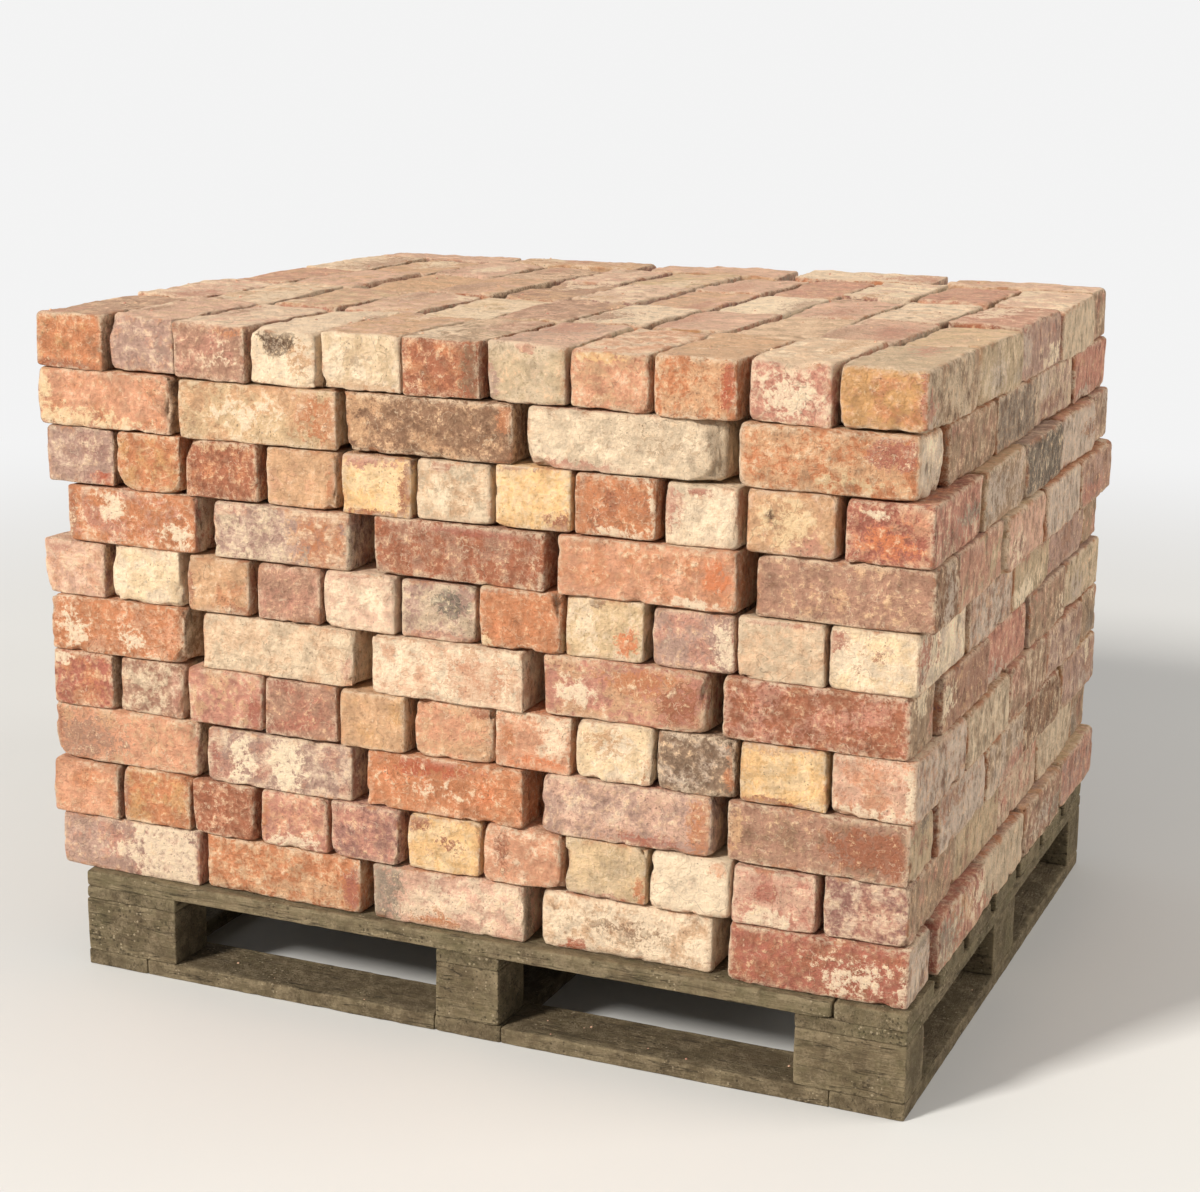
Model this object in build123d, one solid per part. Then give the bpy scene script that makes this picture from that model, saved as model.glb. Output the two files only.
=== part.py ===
from build123d import *
import math
import os
import random

# A pallet of reclaimed bricks: ten dry-laid courses on a four-way timber pallet.
# Millimetres. +X runs to the right along the front, +Y away from the front, +Z up,
# and the origin lies on the floor under the middle of the pallet.

# Bricks. The whole ones are imperial bricks; no two are quite the same size.
brick_length = 228
brick_width = 107
brick_height = 77.8
brick_arris = 3
length_spread = 4
width_spread = 3
height_spread = 1.8

# Bond. Every course has one row of stretchers and four rows of headers, and the
# course above is the same one turned round.
course_count = 10
header_count = 11
stretcher_count = 5
header_row_count = 4
header_joint = 7
row_joint = 6
least_joint = 1.5
brick_clearance = 0.6
face_play = 7
most_turn = math.radians(0.9)

# Where the stack stands on the pallet
stack_shift_x = -27
stack_front_set_back = 14

# Pallet
pallet_length = 1200
pallet_depth = 1000
deck_board_count = 7
deck_board_width = 120
deck_board_thickness = 23
deck_end_piece_length = 96
deck_butt_joint = 1.5
stringer_thickness = 18
block_height = 77
corner_block_length = 146
middle_block_length = 92
outer_block_depth = 80
centre_block_depth = 120
base_board_thickness = 22
side_base_board_width = 98
front_base_board_width = 92
timber_arris = 1.5
deck_chip_length = 28
deck_chip_depth = 9
deck_chip_height = 11
deck_chip_from_end = 4

# How much each brick of the front row is over or under the nominal size, left to right
front_stretcher_over = {
    9: (-13, 10, 12, 34, -2),
    7: (-19, -19, 16, 12, -3),
    5: (-10, 7, -8, -4, 12),
    3: (10, -2, 2, 6, 9),
    1: (0, 18, -4, 11, 8),
}
front_header_over = {
    10: (1, -5, 4, -8, 9, 4, 1, 0, 3, -2, 3),
    8: (2, -6, 5, 2, -5, 2, -2, 5, -10, 8, 4),
    6: (-7, 2, -9, -9, 0, 2, 7, 0, 3, 5, 6),
    4: (-8, 0, 9, 4, -7, 8, 1, -2, -2, 9, 3),
    2: (3, 3, -6, -2, -3, 0, 5, 6, 3, 3, 3),
}

# How wide the joints of the front row are beside each other, left to right
front_joint_shares = {
    10: (8, 2, 8, 5, 2, 8, 3, 1, 22, 3),
    9: (10, 21, 4, 38),
    8: (2, 9, 14, 3, 4, 4, 2, 5, 16, 4),
    7: (46, 30, 4, 22),
    6: (13, 19, 8, 3, 7, 4, 13, 10, 3, 3),
    5: (42, 19, 32, 25),
    4: (15, 6, 3, 1, 17, 3, 2, 6, 5, 3),
    3: (4, 30, 25, 24),
    2: (12, 2, 8, 12, 19, 2, 5, 3, 3, 6),
    1: (4, 17, 22, 34),
}

# How far the left end of each course stands out past the stack's own left side
left_end_out = {1: -6, 2: 8, 3: 0, 4: 0, 5: 5, 6: 5, 7: -12, 8: -6, 9: 7, 10: 6}

# Where a brick of the front row stands, from 0 (as far out as it may) to 1 (right back)
front_places = {
    10: (0.4, 0.8, 0.2, 0.5, 0.4, 0.3, 0.6, 0.6, 0.2, 0.6, 0.3),
    9: (0.5, 0.3, 0.5, 0.9, 0.1),
    8: (0.6, 0.4, 0.3, 0.6, 0.4, 0.6, 0.5, 0.4, 1.0, 0.3, 0.2),
    7: (0.2, 0.3, 0.5, 0.1, 0.6),
    6: (0.4, 0.3, 0.2, 0.6, 0.4, 0.6, 0.2, 0.7, 0.5, 0.5, 0.3),
    5: (0.2, 0.5, 0.0, 0.3, 0.4),
    4: (0.3, 0.5, 0.2, 0.3, 0.0, 0.6, 0.5, 0.3, 0.5, 0.4, 0.4),
    3: (0.4, 0.5, 0.3, 0.3, 0.6),
    2: (0.3, 0.5, 0.2, 0.4, 0.0, 0.4, 0.3, 0.5, 0.4, 0.3, 0.6),
    1: (0.6, 0.5, 0.4, 1.0, 0.2),
}

# Sizes that follow from those above
base_top = base_board_thickness
block_top = base_top + block_height
stringer_top = block_top + stringer_thickness
deck_top = stringer_top + deck_board_thickness
pallet_left = -pallet_length / 2
pallet_right = pallet_length / 2
pallet_front = -pallet_depth / 2
pallet_back = pallet_depth / 2


class Brick:
    """One brick of the stack: its size, where its middle is, its turn and its bed height."""

    def __init__(self, across, along, height, x, y, turn, arris):
        self.across = across
        self.along = along
        self.height = height
        self.x = x
        self.y = y
        self.turn = turn
        self.arris = arris
        self.bottom = 0

    def corners(self):
        """The four corners of its footprint."""
        c = math.cos(self.turn)
        s = math.sin(self.turn)
        half = ((-0.5, -0.5), (0.5, -0.5), (0.5, 0.5), (-0.5, 0.5))
        return [
            (self.x + u * self.across * c - v * self.along * s,
             self.y + u * self.across * s + v * self.along * c)
            for u, v in half
        ]

    def solid(self):
        """Its solid, with worn arrises where it has any."""
        body = Box(self.across, self.along, self.height, align=(Align.CENTER, Align.CENTER, Align.MIN))
        if self.arris:
            body = chamfer(body.edges(), self.arris)
        return Pos(self.x, self.y, self.bottom) * Rot(0, 0, math.degrees(self.turn)) * body


def footprint_overlap(first, second):
    """How far two turned rectangles reach into each other in plan. It is negative where they are apart."""
    overlaps = []
    for brick in (first, second):
        for angle in (brick.turn, brick.turn + math.pi / 2):
            along_x = math.cos(angle)
            along_y = math.sin(angle)
            one = [x * along_x + y * along_y for x, y in first.corners()]
            two = [x * along_x + y * along_y for x, y in second.corners()]
            overlaps.append(min(max(one), max(two)) - max(min(one), min(two)))
    return min(overlaps)


def brick_chance(course, row, column):
    """A random generator of one brick's own, so that a change elsewhere leaves it alone."""
    return random.Random(course * 1000 + row * 50 + column)


def outer(row, column):
    """True for a header in a face of the stack."""
    return row in (0, header_row_count) or column in (0, header_count - 1)


def rows_of(course):
    """The rows of a course from the front: "stretchers" and "headers"."""
    headers = ["headers"] * header_row_count
    if course % 2:
        return ["stretchers"] + headers
    return headers + ["stretchers"]


def row_sizes(course, row, kind):
    """The size of each brick of a row along the row, left to right."""
    if kind == "stretchers":
        count, size, spread, over = stretcher_count, brick_length, length_spread, front_stretcher_over
    else:
        count, size, spread, over = header_count, brick_width, width_spread, front_header_over
    if row == 0 and len(over.get(course, ())) == count:
        return [size + extra for extra in over[course]]
    return [size + brick_chance(course, row, column).uniform(-spread, spread) for column in range(count)]


def all_row_sizes():
    """The sizes of every row, by course and row."""
    return {
        (course, row): row_sizes(course, row, kind)
        for course in range(1, course_count + 1)
        for row, kind in enumerate(rows_of(course))
    }


def stack_width(sizes):
    """The stack is as wide as a plain row of headers, or as its fullest row where that is more."""
    plain = header_count * brick_width + (header_count - 1) * header_joint
    fullest = max(sum(row) + (len(row) - 1) * least_joint for row in sizes.values())
    return max(plain, fullest)


def joint_shares(course, row, count):
    """The share of a row's spare room that each of its joints takes."""
    if row == 0 and len(front_joint_shares.get(course, ())) == count:
        return front_joint_shares[course]
    return [brick_chance(course, row, 20 + joint).uniform(0.4, 1.6) for joint in range(count)]


def row_bricks(course, row, kind, sizes, width, front):
    """The bricks of one row. Each stands in a cell of its own, clear of the cells beside it."""
    joint_count = len(sizes) - 1
    spare = width - sum(sizes) - joint_count * least_joint
    shares = joint_shares(course, row, joint_count)
    joints = [least_joint + spare * share / sum(shares) for share in shares]
    depth = brick_width if kind == "stretchers" else brick_length
    depth_spread = width_spread if kind == "stretchers" else length_spread
    last_row = row == header_row_count
    left = stack_shift_x - width / 2 - left_end_out.get(course, 0)
    bricks = []
    for column, across in enumerate(sizes):
        chance = brick_chance(course, row, 40 + column)
        along = depth - chance.uniform(0, depth_spread)
        height = brick_height + chance.uniform(-height_spread, height_spread)
        room_left = joints[column - 1] / 2 if column else face_play / 2
        room_right = joints[column] / 2 if column < joint_count else face_play / 2
        room_front = row_joint / 2 if row else face_play
        room_back = face_play if last_row else row_joint / 2
        cell_x = across + room_left + room_right - brick_clearance
        cell_y = depth + room_front + room_back - brick_clearance
        turn_limit = min(most_turn, (cell_x - across) / along, (cell_y - along) / across)
        turn = chance.uniform(-turn_limit, turn_limit)
        box_x = across * math.cos(turn) + along * abs(math.sin(turn))
        box_y = along * math.cos(turn) + across * abs(math.sin(turn))
        place_x = chance.random() if column in (0, joint_count) else 0.5
        place_y = front_places[course][column] if row == 0 and course in front_places else chance.random()
        hidden = kind == "headers" and not outer(row, column) and course < course_count
        cell_left = left - room_left + brick_clearance / 2
        cell_front = front - room_front + brick_clearance / 2
        middle_x = cell_left + (cell_x - box_x) * place_x + box_x / 2
        middle_y = cell_front + (cell_y - box_y) * place_y + box_y / 2
        arris = 0 if hidden else brick_arris
        bricks.append(Brick(across, along, height, middle_x, middle_y, turn, arris))
        if column < joint_count:
            left += across + joints[column]
    return bricks


def settle(brick, below):
    """Lay a brick on the highest of the bricks under it, or on the deck.

    Where only worn arrises lie over each other, it can sink in between them by the play they leave.
    """
    seats = [deck_top]
    for lower in below:
        overlap = footprint_overlap(brick, lower)
        if overlap > 0:
            play = max(0, brick.arris + lower.arris - overlap)
            seats.append(lower.bottom + lower.height - play)
    brick.bottom = max(seats)


def lay_stack():
    """All bricks by course and node: {(course, name): [brick, ...]}."""
    sizes = all_row_sizes()
    width = stack_width(sizes)
    nodes = {}
    below = []
    for course in range(1, course_count + 1):
        front = pallet_front + stack_front_set_back
        laid = []
        for row, kind in enumerate(rows_of(course)):
            bricks = row_bricks(course, row, kind, sizes[(course, row)], width, front)
            for column, brick in enumerate(bricks):
                settle(brick, below)
                name = kind
                if kind == "headers":
                    name = "outer_headers" if outer(row, column) else "inner_headers"
                nodes.setdefault((course, name), []).append(brick)
                laid.append(brick)
            front += (brick_width if kind == "stretchers" else brick_length) + row_joint
        below = laid
    return nodes


def write(name, shape):
    """Write one node's STEP file."""
    export_step(shape, f"parts/{name}.step", write_pcurves=False)


def timber(left, right, front, back, bottom, top):
    """A sawn board or block between six faces, with its arrises taken off."""
    piece = Box(right - left, back - front, top - bottom, align=Align.MIN)
    piece = chamfer(piece.edges(), timber_arris)
    return Pos(left, front, bottom) * piece


def make_base_boards():
    """The perimeter base: three boards front to back, and one between them at each end."""
    middle_left = -side_base_board_width / 2
    lefts = {
        "left": pallet_left,
        "centre": middle_left,
        "right": pallet_right - side_base_board_width,
    }
    for side, left in lefts.items():
        right = left + side_base_board_width
        write(f"base_board_{side}", timber(left, right, pallet_front, pallet_back, 0, base_top))
    spans = {
        "left": (pallet_left + side_base_board_width, middle_left),
        "right": (middle_left + side_base_board_width, pallet_right - side_base_board_width),
    }
    for side, (left, right) in spans.items():
        front_back = pallet_front + front_base_board_width
        back_front = pallet_back - front_base_board_width
        write(f"base_board_front_{side}", timber(left, right, pallet_front, front_back, 0, base_top))
        write(f"base_board_back_{side}", timber(left, right, back_front, pallet_back, 0, base_top))


def block_spans_x():
    """Left and right faces of the three files of blocks."""
    return {
        "left": (pallet_left, pallet_left + corner_block_length),
        "middle": (-middle_block_length / 2, middle_block_length / 2),
        "right": (pallet_right - corner_block_length, pallet_right),
    }


def make_blocks():
    """Nine blocks between the base and the stringer boards."""
    spans_y = {
        "front": (pallet_front, pallet_front + outer_block_depth),
        "centre": (-centre_block_depth / 2, centre_block_depth / 2),
        "back": (pallet_back - outer_block_depth, pallet_back),
    }
    for side, (left, right) in block_spans_x().items():
        for place, (front, back) in spans_y.items():
            write(f"block_{place}_{side}", timber(left, right, front, back, base_top, block_top))


def make_stringer_boards():
    """Three boards front to back on the blocks, under the deck."""
    for side, (left, right) in block_spans_x().items():
        board = timber(left, right, pallet_front, pallet_back, block_top, stringer_top)
        write(f"stringer_board_{side}", board)


def make_deck_boards():
    """Seven deck boards along the front. The front one ends short, with a piece let in."""
    pitch = (pallet_depth - deck_board_width) / (deck_board_count - 1)
    for number in range(1, deck_board_count + 1):
        front = pallet_front + (number - 1) * pitch
        back = front + deck_board_width
        right = pallet_right
        if number == 1:
            right = pallet_right - deck_end_piece_length - deck_butt_joint
        board = timber(pallet_left, right, front, back, stringer_top, deck_top)
        if number == 1:
            chip = Box(deck_chip_length, 2 * deck_chip_depth, 2 * deck_chip_height)
            board -= Pos(right - deck_chip_from_end - deck_chip_length / 2, front, deck_top) * chip
        write(f"deck_board_{number}", board)
    end_left = pallet_right - deck_end_piece_length
    end_back = pallet_front + deck_board_width
    write("deck_board_1_end_piece", timber(end_left, pallet_right, pallet_front, end_back, stringer_top, deck_top))


def make_bricks():
    """The stack. The bricks that show have worn arrises; those inside are plain."""
    for (course, name), bricks in lay_stack().items():
        solids = [brick.solid() for brick in bricks]
        write(f"course_{course:02d}_{name}", Compound(children=solids))


os.makedirs("parts", exist_ok=True)
make_base_boards()
make_blocks()
make_stringer_boards()
make_deck_boards()
make_bricks()
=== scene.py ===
import math
import random

import bmesh
import bpy
import numpy as np
from mathutils import Matrix, Vector


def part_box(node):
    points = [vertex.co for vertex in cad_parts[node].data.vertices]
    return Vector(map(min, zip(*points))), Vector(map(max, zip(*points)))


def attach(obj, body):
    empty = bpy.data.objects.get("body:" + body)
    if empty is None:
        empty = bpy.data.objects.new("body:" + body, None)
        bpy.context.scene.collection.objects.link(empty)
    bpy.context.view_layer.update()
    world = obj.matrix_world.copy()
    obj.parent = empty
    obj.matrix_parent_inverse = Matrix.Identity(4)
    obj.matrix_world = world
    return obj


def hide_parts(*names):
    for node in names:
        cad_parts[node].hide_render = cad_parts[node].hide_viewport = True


# The looks of a pallet of reclaimed bricks: worn bricks, weathered timber, plain studio.
# Metres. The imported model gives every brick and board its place.

bl_info = {
    "name": "Pallet of Reclaimed Bricks",
    "version": (1, 0, 0),
    "blender": (4, 5, 0),
    "location": "3D View > Sidebar > Brick Pallet",
    "description": "Dresses a dry-laid brick stack and its timber pallet",
    "category": "Object",
}

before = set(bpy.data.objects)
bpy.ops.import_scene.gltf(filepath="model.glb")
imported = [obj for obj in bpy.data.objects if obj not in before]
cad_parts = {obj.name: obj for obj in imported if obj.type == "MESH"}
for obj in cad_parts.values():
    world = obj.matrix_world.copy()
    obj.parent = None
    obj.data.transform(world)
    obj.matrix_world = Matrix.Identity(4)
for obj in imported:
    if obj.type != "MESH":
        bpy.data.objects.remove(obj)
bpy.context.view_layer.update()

body_name = "root"
course_count = 10
image_width = 1200
image_height = 1192


def linear(red, green, blue):
    """A colour written as three steps from 0 to 255, made linear."""
    shares = [step / 255 for step in (red, green, blue)]
    return tuple(
        share / 12.92 if share <= 0.04045 else ((share + 0.055) / 1.055) ** 2.4
        for share in shares
    )


# Fired clay, lime and dirt, named as a bricklayer would
shades = {
    "orange": (190, 124, 86),
    "bright": (212, 128, 86),
    "scarlet": (178, 94, 68),
    "rust": (158, 98, 72),
    "red": (168, 102, 84),
    "rose": (190, 132, 112),
    "salmon": (206, 148, 116),
    "pink": (212, 168, 144),
    "plum": (156, 112, 100),
    "mauve": (176, 142, 126),
    "tan": (202, 158, 120),
    "buff": (208, 178, 138),
    "cream": (236, 211, 180),
    "straw": (232, 200, 156),
    "yellow": (228, 184, 130),
    "ochre": (196, 148, 98),
    "olive": (190, 166, 134),
    "stone": (204, 181, 152),
    "grey": (146, 129, 112),
    "brown": (138, 104, 80),
    "umber": (92, 68, 52),
    "soot": (118, 78, 54),
    "slate": (114, 103, 90),
    "lime": (244, 221, 188),
    "sand": (216, 180, 146),
    "fleck": (240, 200, 158),
    "dun": (162, 134, 108),
    "dove": (198, 177, 158),
    "dusk": (168, 126, 104),
    "moor": (130, 106, 86),
}
clay = {name: linear(*shade) for name, shade in shades.items()}


class Finish:
    """How one face of a brick looks."""

    def __init__(self, body, second, share, lime, grime, *marks):
        self.body = clay[body]
        self.second = clay[second]
        self.share = share
        self.lime = lime
        self.grime = grime
        self.spots = [mark for mark in marks if mark[0] != "dent"]
        self.dents = [mark[1:] for mark in marks if mark[0] == "dent"]


# The front row's finishes from left to right: the clay of a brick, a second clay, how much of the face
# the second clay, lime and grime cover, and its marks.
# A mark is a spot: its colour, where its middle is across and up the face, how far it reaches
# across and up, as shares of the face, and how much it is thinned out to specks, or made denser below 0.
# Or it is a dent: where its middle is across and up the face, and how wide and how deep it is.
front_finishes = {
    10: (
        ("orange", "ochre", 0.4, 0.1, 0.35, ("rust", 0.4, 0.02, 0.6, 0.14)),
        ("mauve", "rose", 0.45, 0.35, 0.1),
        ("dusk", "rose", 0.45, 0.35, 0.2, ("cream", 0.7, 0.5, 0.7, 0.9, 0.85),
         ("orange", 0.9, 0.95, 0.5, 0.3, 0.3)),
        ("cream", "straw", 0.4, 0.35, 0.2, ("umber", 0.42, 0.9, 0.2, 0.24, -0.6),
         ("tan", 0.8, 0.6, 0.5, 0.7, 0.5), ("dent", 0.42, 1.0, 0.016, 0.016)),
        ("cream", "buff", 0.5, 0.45, 0.25, ("tan", 0.5, 0.0, 0.9, 0.16), ("dun", 0.4, 0.5, 0.8, 0.8, 0.8)),
        ("rust", "orange", 0.45, 0.05, 0.35, ("brown", 0.95, 0.5, 0.2, 0.6),
         ("dent", 1.0, 0.5, 0.03, 0.006)),
        ("olive", "stone", 0.5, 0.1, 0.05, ("rose", 0.5, 0.97, 0.14, 0.12),
         ("mauve", 0.02, 0.3, 0.12, 0.5)),
        ("salmon", "tan", 0.5, 0.35, 0.15, ("yellow", 0.4, 0.9, 0.4, 0.12)),
        ("orange", "tan", 0.5, 0.2, 0.2, ("scarlet", 0.92, 0.55, 0.13, 0.5)),
        ("rose", "cream", 0.4, 0.4, 0.1, ("cream", 0.45, 0.45, 0.5, 0.6, 0.45),
         ("red", 0.5, 1.02, 0.6, 0.12)),
        ("ochre", "orange", 0.45, 0.1, 0.3, ("scarlet", 0.98, 0.5, 0.07, 0.6)),
    ),
    9: (
        ("salmon", "orange", 0.45, 0.3, 0.1, ("straw", 0.3, 0.1, 0.6, 0.4, 0.3),
         ("straw", 0.03, 0.6, 0.14, 0.6, 0.2), ("dent", 1.0, 0.5, 0.04, 0.006)),
        ("tan", "buff", 0.55, 0.35, 0.2, ("orange", 0.9, 0.5, 0.24, 0.9, 0.3),
         ("cream", 0.35, 0.5, 0.9, 0.9, 0.85)),
        ("brown", "tan", 0.45, 0.12, 0.4, ("orange", 0.98, 0.75, 0.1, 0.5, 0.2),
         ("tan", 0.05, 0.5, 0.1, 0.7, 0.2)),
        ("cream", "stone", 0.6, 0.4, 0.3, ("rose", 0.25, 0.05, 0.3, 0.16, 0.1),
         ("dun", 0.7, 0.5, 0.9, 0.9, 0.85), ("dent", 1.0, 1.0, 0.055, 0.022),
         ("dent", 1.0, 0.0, 0.050, 0.020), ("dent", 1.0, 0.5, 0.04, 0.010), ("dent", 0.0, 0.0, 0.04, 0.01)),
        ("orange", "tan", 0.55, 0.3, 0.3, ("red", 0.88, 0.7, 0.26, 0.4, 0.3),
         ("buff", 0.6, 0.2, 0.5, 0.4, 0.55)),
    ),
    8: (
        ("mauve", "plum", 0.45, 0.4, 0.15, ("scarlet", 0.86, 0.1, 0.26, 0.26, 0.1)),
        ("orange", "ochre", 0.45, 0.12, 0.2, ("dent", 0.0, 0.0, 0.03, 0.01),
         ("dent", 1.0, 0.0, 0.03, 0.008)),
        ("rust", "orange", 0.45, 0.2, 0.25, ("tan", 0.5, 0.97, 0.6, 0.12), ("dent", 0.0, 1.0, 0.03, 0.01)),
        ("tan", "salmon", 0.45, 0.25, 0.2, ("orange", 0.97, 0.5, 0.12, 0.5)),
        ("yellow", "straw", 0.5, 0.25, 0.1, ("rose", 0.3, 0.99, 0.6, 0.2), ("rust", 0.99, 0.4, 0.16, 0.6),
         ("rust", 0.4, 0.0, 0.7, 0.12, 0.1)),
        ("stone", "tan", 0.5, 0.5, 0.2, ("red", 0.35, 0.95, 0.2, 0.16), ("lime", 0.4, 0.5, 0.8, 0.9, 0.8)),
        ("yellow", "straw", 0.5, 0.05, 0.06, ("rust", 0.9, 0.04, 0.3, 0.26), ("rust", 0.2, 0.99, 0.3, 0.1),
         ("dent", 0.55, 0.55, 0.006, 0.006)),
        ("orange", "rust", 0.45, 0.25, 0.15, ("cream", 0.6, 0.0, 0.6, 0.3, 0.4),
         ("cream", 1.0, 0.6, 0.16, 0.6, 0.3)),
        ("cream", "stone", 0.45, 0.4, 0.12, ("rose", 0.08, 0.7, 0.2, 0.6, 0.1),
         ("red", 0.45, 0.97, 0.24, 0.16)),
        ("tan", "rose", 0.45, 0.25, 0.2, ("straw", 0.45, 0.5, 0.6, 0.7, 0.45),
         ("umber", 0.28, 0.6, 0.07, 0.1)),
        ("red", "salmon", 0.5, 0.3, 0.08, ("bright", 0.5, 0.4, 0.8, 0.7, 0.5),
         ("cream", 0.4, 0.8, 0.3, 0.2, 0.4)),
    ),
    7: (
        ("orange", "rose", 0.5, 0.35, 0.15, ("cream", 0.34, 0.7, 0.3, 0.7, 0.6),
         ("cream", 0.84, 0.25, 0.26, 0.7, 0.5), ("rust", 0.02, 0.6, 0.05, 0.6)),
        ("mauve", "stone", 0.45, 0.45, 0.15, ("orange", 0.82, 0.5, 0.26, 0.9),
         ("rose", 0.1, 0.95, 0.3, 0.2, 0.1)),
        ("rust", "dusk", 0.5, 0.08, 0.25, ("red", 0.6, 0.9, 0.3, 0.1)),
        ("salmon", "orange", 0.5, 0.3, 0.05, ("bright", 0.9, 0.55, 0.1, 0.3),
         ("cream", 0.75, 0.1, 0.16, 0.1)),
        ("dusk", "tan", 0.4, 0.15, 0.3),
    ),
    6: (
        ("pink", "salmon", 0.5, 0.45, 0.1, ("rose", 0.2, 0.9, 0.3, 0.16)),
        ("cream", "straw", 0.5, 0.45, 0.04),
        ("tan", "orange", 0.45, 0.35, 0.2, ("rust", 0.02, 0.5, 0.1, 0.5), ("rust", 0.9, 0.04, 0.3, 0.2)),
        ("dusk", "rose", 0.5, 0.15, 0.2),
        ("cream", "pink", 0.55, 0.4, 0.08, ("rose", 0.3, 0.97, 0.5, 0.1)),
        ("mauve", "stone", 0.5, 0.35, 0.2, ("slate", 0.68, 0.66, 0.26, 0.26),
         ("rose", 0.5, 0.03, 0.6, 0.14)),
        ("orange", "bright", 0.35, 0.08, 0.06, ("straw", 0.06, 0.1, 0.1, 0.2),
         ("rust", 0.2, 0.97, 0.2, 0.06)),
        ("buff", "cream", 0.45, 0.35, 0.2, ("bright", 0.78, 0.3, 0.26, 0.4, 0.25),
         ("brown", 0.4, 0.92, 0.1, 0.1)),
        ("mauve", "rose", 0.5, 0.3, 0.15, ("cream", 0.9, 0.4, 0.24, 0.6, 0.2)),
        ("sand", "stone", 0.5, 0.35, 0.2, ("rose", 0.5, 1.0, 0.6, 0.1)),
        ("cream", "straw", 0.5, 0.35, 0.1, ("red", 0.05, 0.85, 0.16, 0.3),
         ("rust", 0.5, 0.5, 0.6, 0.7, 0.84)),
    ),
    5: (
        ("orange", "salmon", 0.45, 0.25, 0.15, ("cream", 0.18, 0.5, 0.3, 0.9, 0.6),
         ("cream", 0.6, 0.3, 0.3, 0.6, 0.65)),
        ("sand", "stone", 0.5, 0.45, 0.2, ("rose", 0.99, 0.3, 0.08, 0.4, 0.1),
         ("orange", 0.85, 1.0, 0.2, 0.1, 0.1)),
        ("cream", "salmon", 0.5, 0.45, 0.06, ("salmon", 0.7, 0.5, 0.24, 0.4)),
        ("rose", "tan", 0.5, 0.3, 0.1, ("orange", 0.6, 0.8, 0.4, 0.5, 0.3),
         ("cream", 0.2, 0.4, 0.34, 0.8, 0.6), ("rust", 0.85, 0.4, 0.2, 0.6, 0.2),
         ("dent", 1.0, 1.0, 0.04, 0.012)),
        ("rust", "rose", 0.45, 0.08, 0.15),
    ),
    4: (
        ("red", "orange", 0.5, 0.15, 0.15, ("cream", 0.15, 0.88, 0.2, 0.14)),
        ("dusk", "stone", 0.45, 0.45, 0.15, ("rose", 0.9, 0.5, 0.1, 0.5)),
        ("rose", "tan", 0.45, 0.3, 0.15, ("red", 0.9, 0.3, 0.14, 0.3)),
        ("dusk", "red", 0.5, 0.15, 0.15),
        ("tan", "ochre", 0.45, 0.12, 0.15),
        ("salmon", "tan", 0.5, 0.3, 0.1, ("rust", 0.9, 0.9, 0.2, 0.14)),
        ("salmon", "cream", 0.45, 0.35, 0.06, ("bright", 0.55, 0.1, 0.5, 0.2),
         ("orange", 0.15, 0.5, 0.12, 0.3)),
        ("cream", "straw", 0.5, 0.35, 0.1, ("orange", 0.99, 0.15, 0.14, 0.4, 0.1),
         ("tan", 0.4, 0.7, 0.5, 0.4, 0.4)),
        ("moor", "dove", 0.4, 0.2, 0.3, ("orange", 0.97, 0.4, 0.1, 0.5)),
        ("yellow", "straw", 0.45, 0.15, 0.1, ("rust", 0.3, 0.0, 0.7, 0.14),
         ("tan", 0.3, 1.0, 0.6, 0.2, 0.2)),
        ("salmon", "pink", 0.5, 0.35, 0.08, ("cream", 0.95, 0.4, 0.1, 0.5), ("cream", 0.4, 0.04, 0.4, 0.2)),
    ),
    3: (
        ("salmon", "tan", 0.45, 0.2, 0.25, ("dusk", 0.2, 0.4, 0.44, 0.8, 0.35),
         ("rust", 0.02, 0.6, 0.05, 0.6)),
        ("mauve", "rose", 0.45, 0.5, 0.12, ("red", 0.03, 0.5, 0.1, 0.8),
         ("lime", 0.24, 0.5, 0.2, 1.1, 0.45), ("lime", 0.56, 0.5, 0.2, 1.2, 0.4)),
        ("orange", "bright", 0.4, 0.25, 0.08, ("scarlet", 0.4, 0.9, 0.4, 0.3, 0.2),
         ("cream", 0.5, 0.5, 0.6, 0.6, 0.75)),
        ("mauve", "pink", 0.5, 0.35, 0.12, ("orange", 0.97, 0.4, 0.14, 0.8, 0.1),
         ("red", 0.6, 0.05, 0.4, 0.3, 0.3)),
        ("dusk", "brown", 0.45, 0.08, 0.25, ("tan", 0.03, 0.6, 0.06, 0.4), ("rust", 0.8, 0.5, 0.3, 0.4)),
    ),
    2: (
        ("salmon", "orange", 0.5, 0.2, 0.1),
        ("orange", "ochre", 0.5, 0.12, 0.1, ("rust", 0.03, 0.5, 0.08, 0.5)),
        ("rust", "salmon", 0.4, 0.3, 0.15),
        ("rose", "salmon", 0.45, 0.35, 0.1, ("cream", 0.5, 0.04, 0.6, 0.3, 0.2),
         ("orange", 0.05, 0.5, 0.1, 0.4)),
        ("plum", "rose", 0.5, 0.2, 0.1),
        ("yellow", "straw", 0.5, 0.2, 0.15, ("rust", 0.12, 0.95, 0.3, 0.3, 0.2),
         ("rust", 0.5, 0.5, 0.9, 0.9, 0.9)),
        ("salmon", "cream", 0.4, 0.3, 0.1, ("rust", 0.25, 0.6, 0.2, 0.8, 0.5)),
        ("buff", "olive", 0.5, 0.25, 0.15, ("orange", 0.95, 0.1, 0.16, 0.4, 0.1),
         ("red", 0.5, 0.02, 0.4, 0.08)),
        ("cream", "pink", 0.3, 0.6, 0.04, ("bright", 0.88, 0.88, 0.14, 0.18)),
        ("rose", "pink", 0.5, 0.35, 0.08, ("cream", 0.45, 0.12, 0.3, 0.2), ("red", 0.4, 0.6, 0.2, 0.2)),
        ("plum", "rose", 0.45, 0.5, 0.1),
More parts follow.
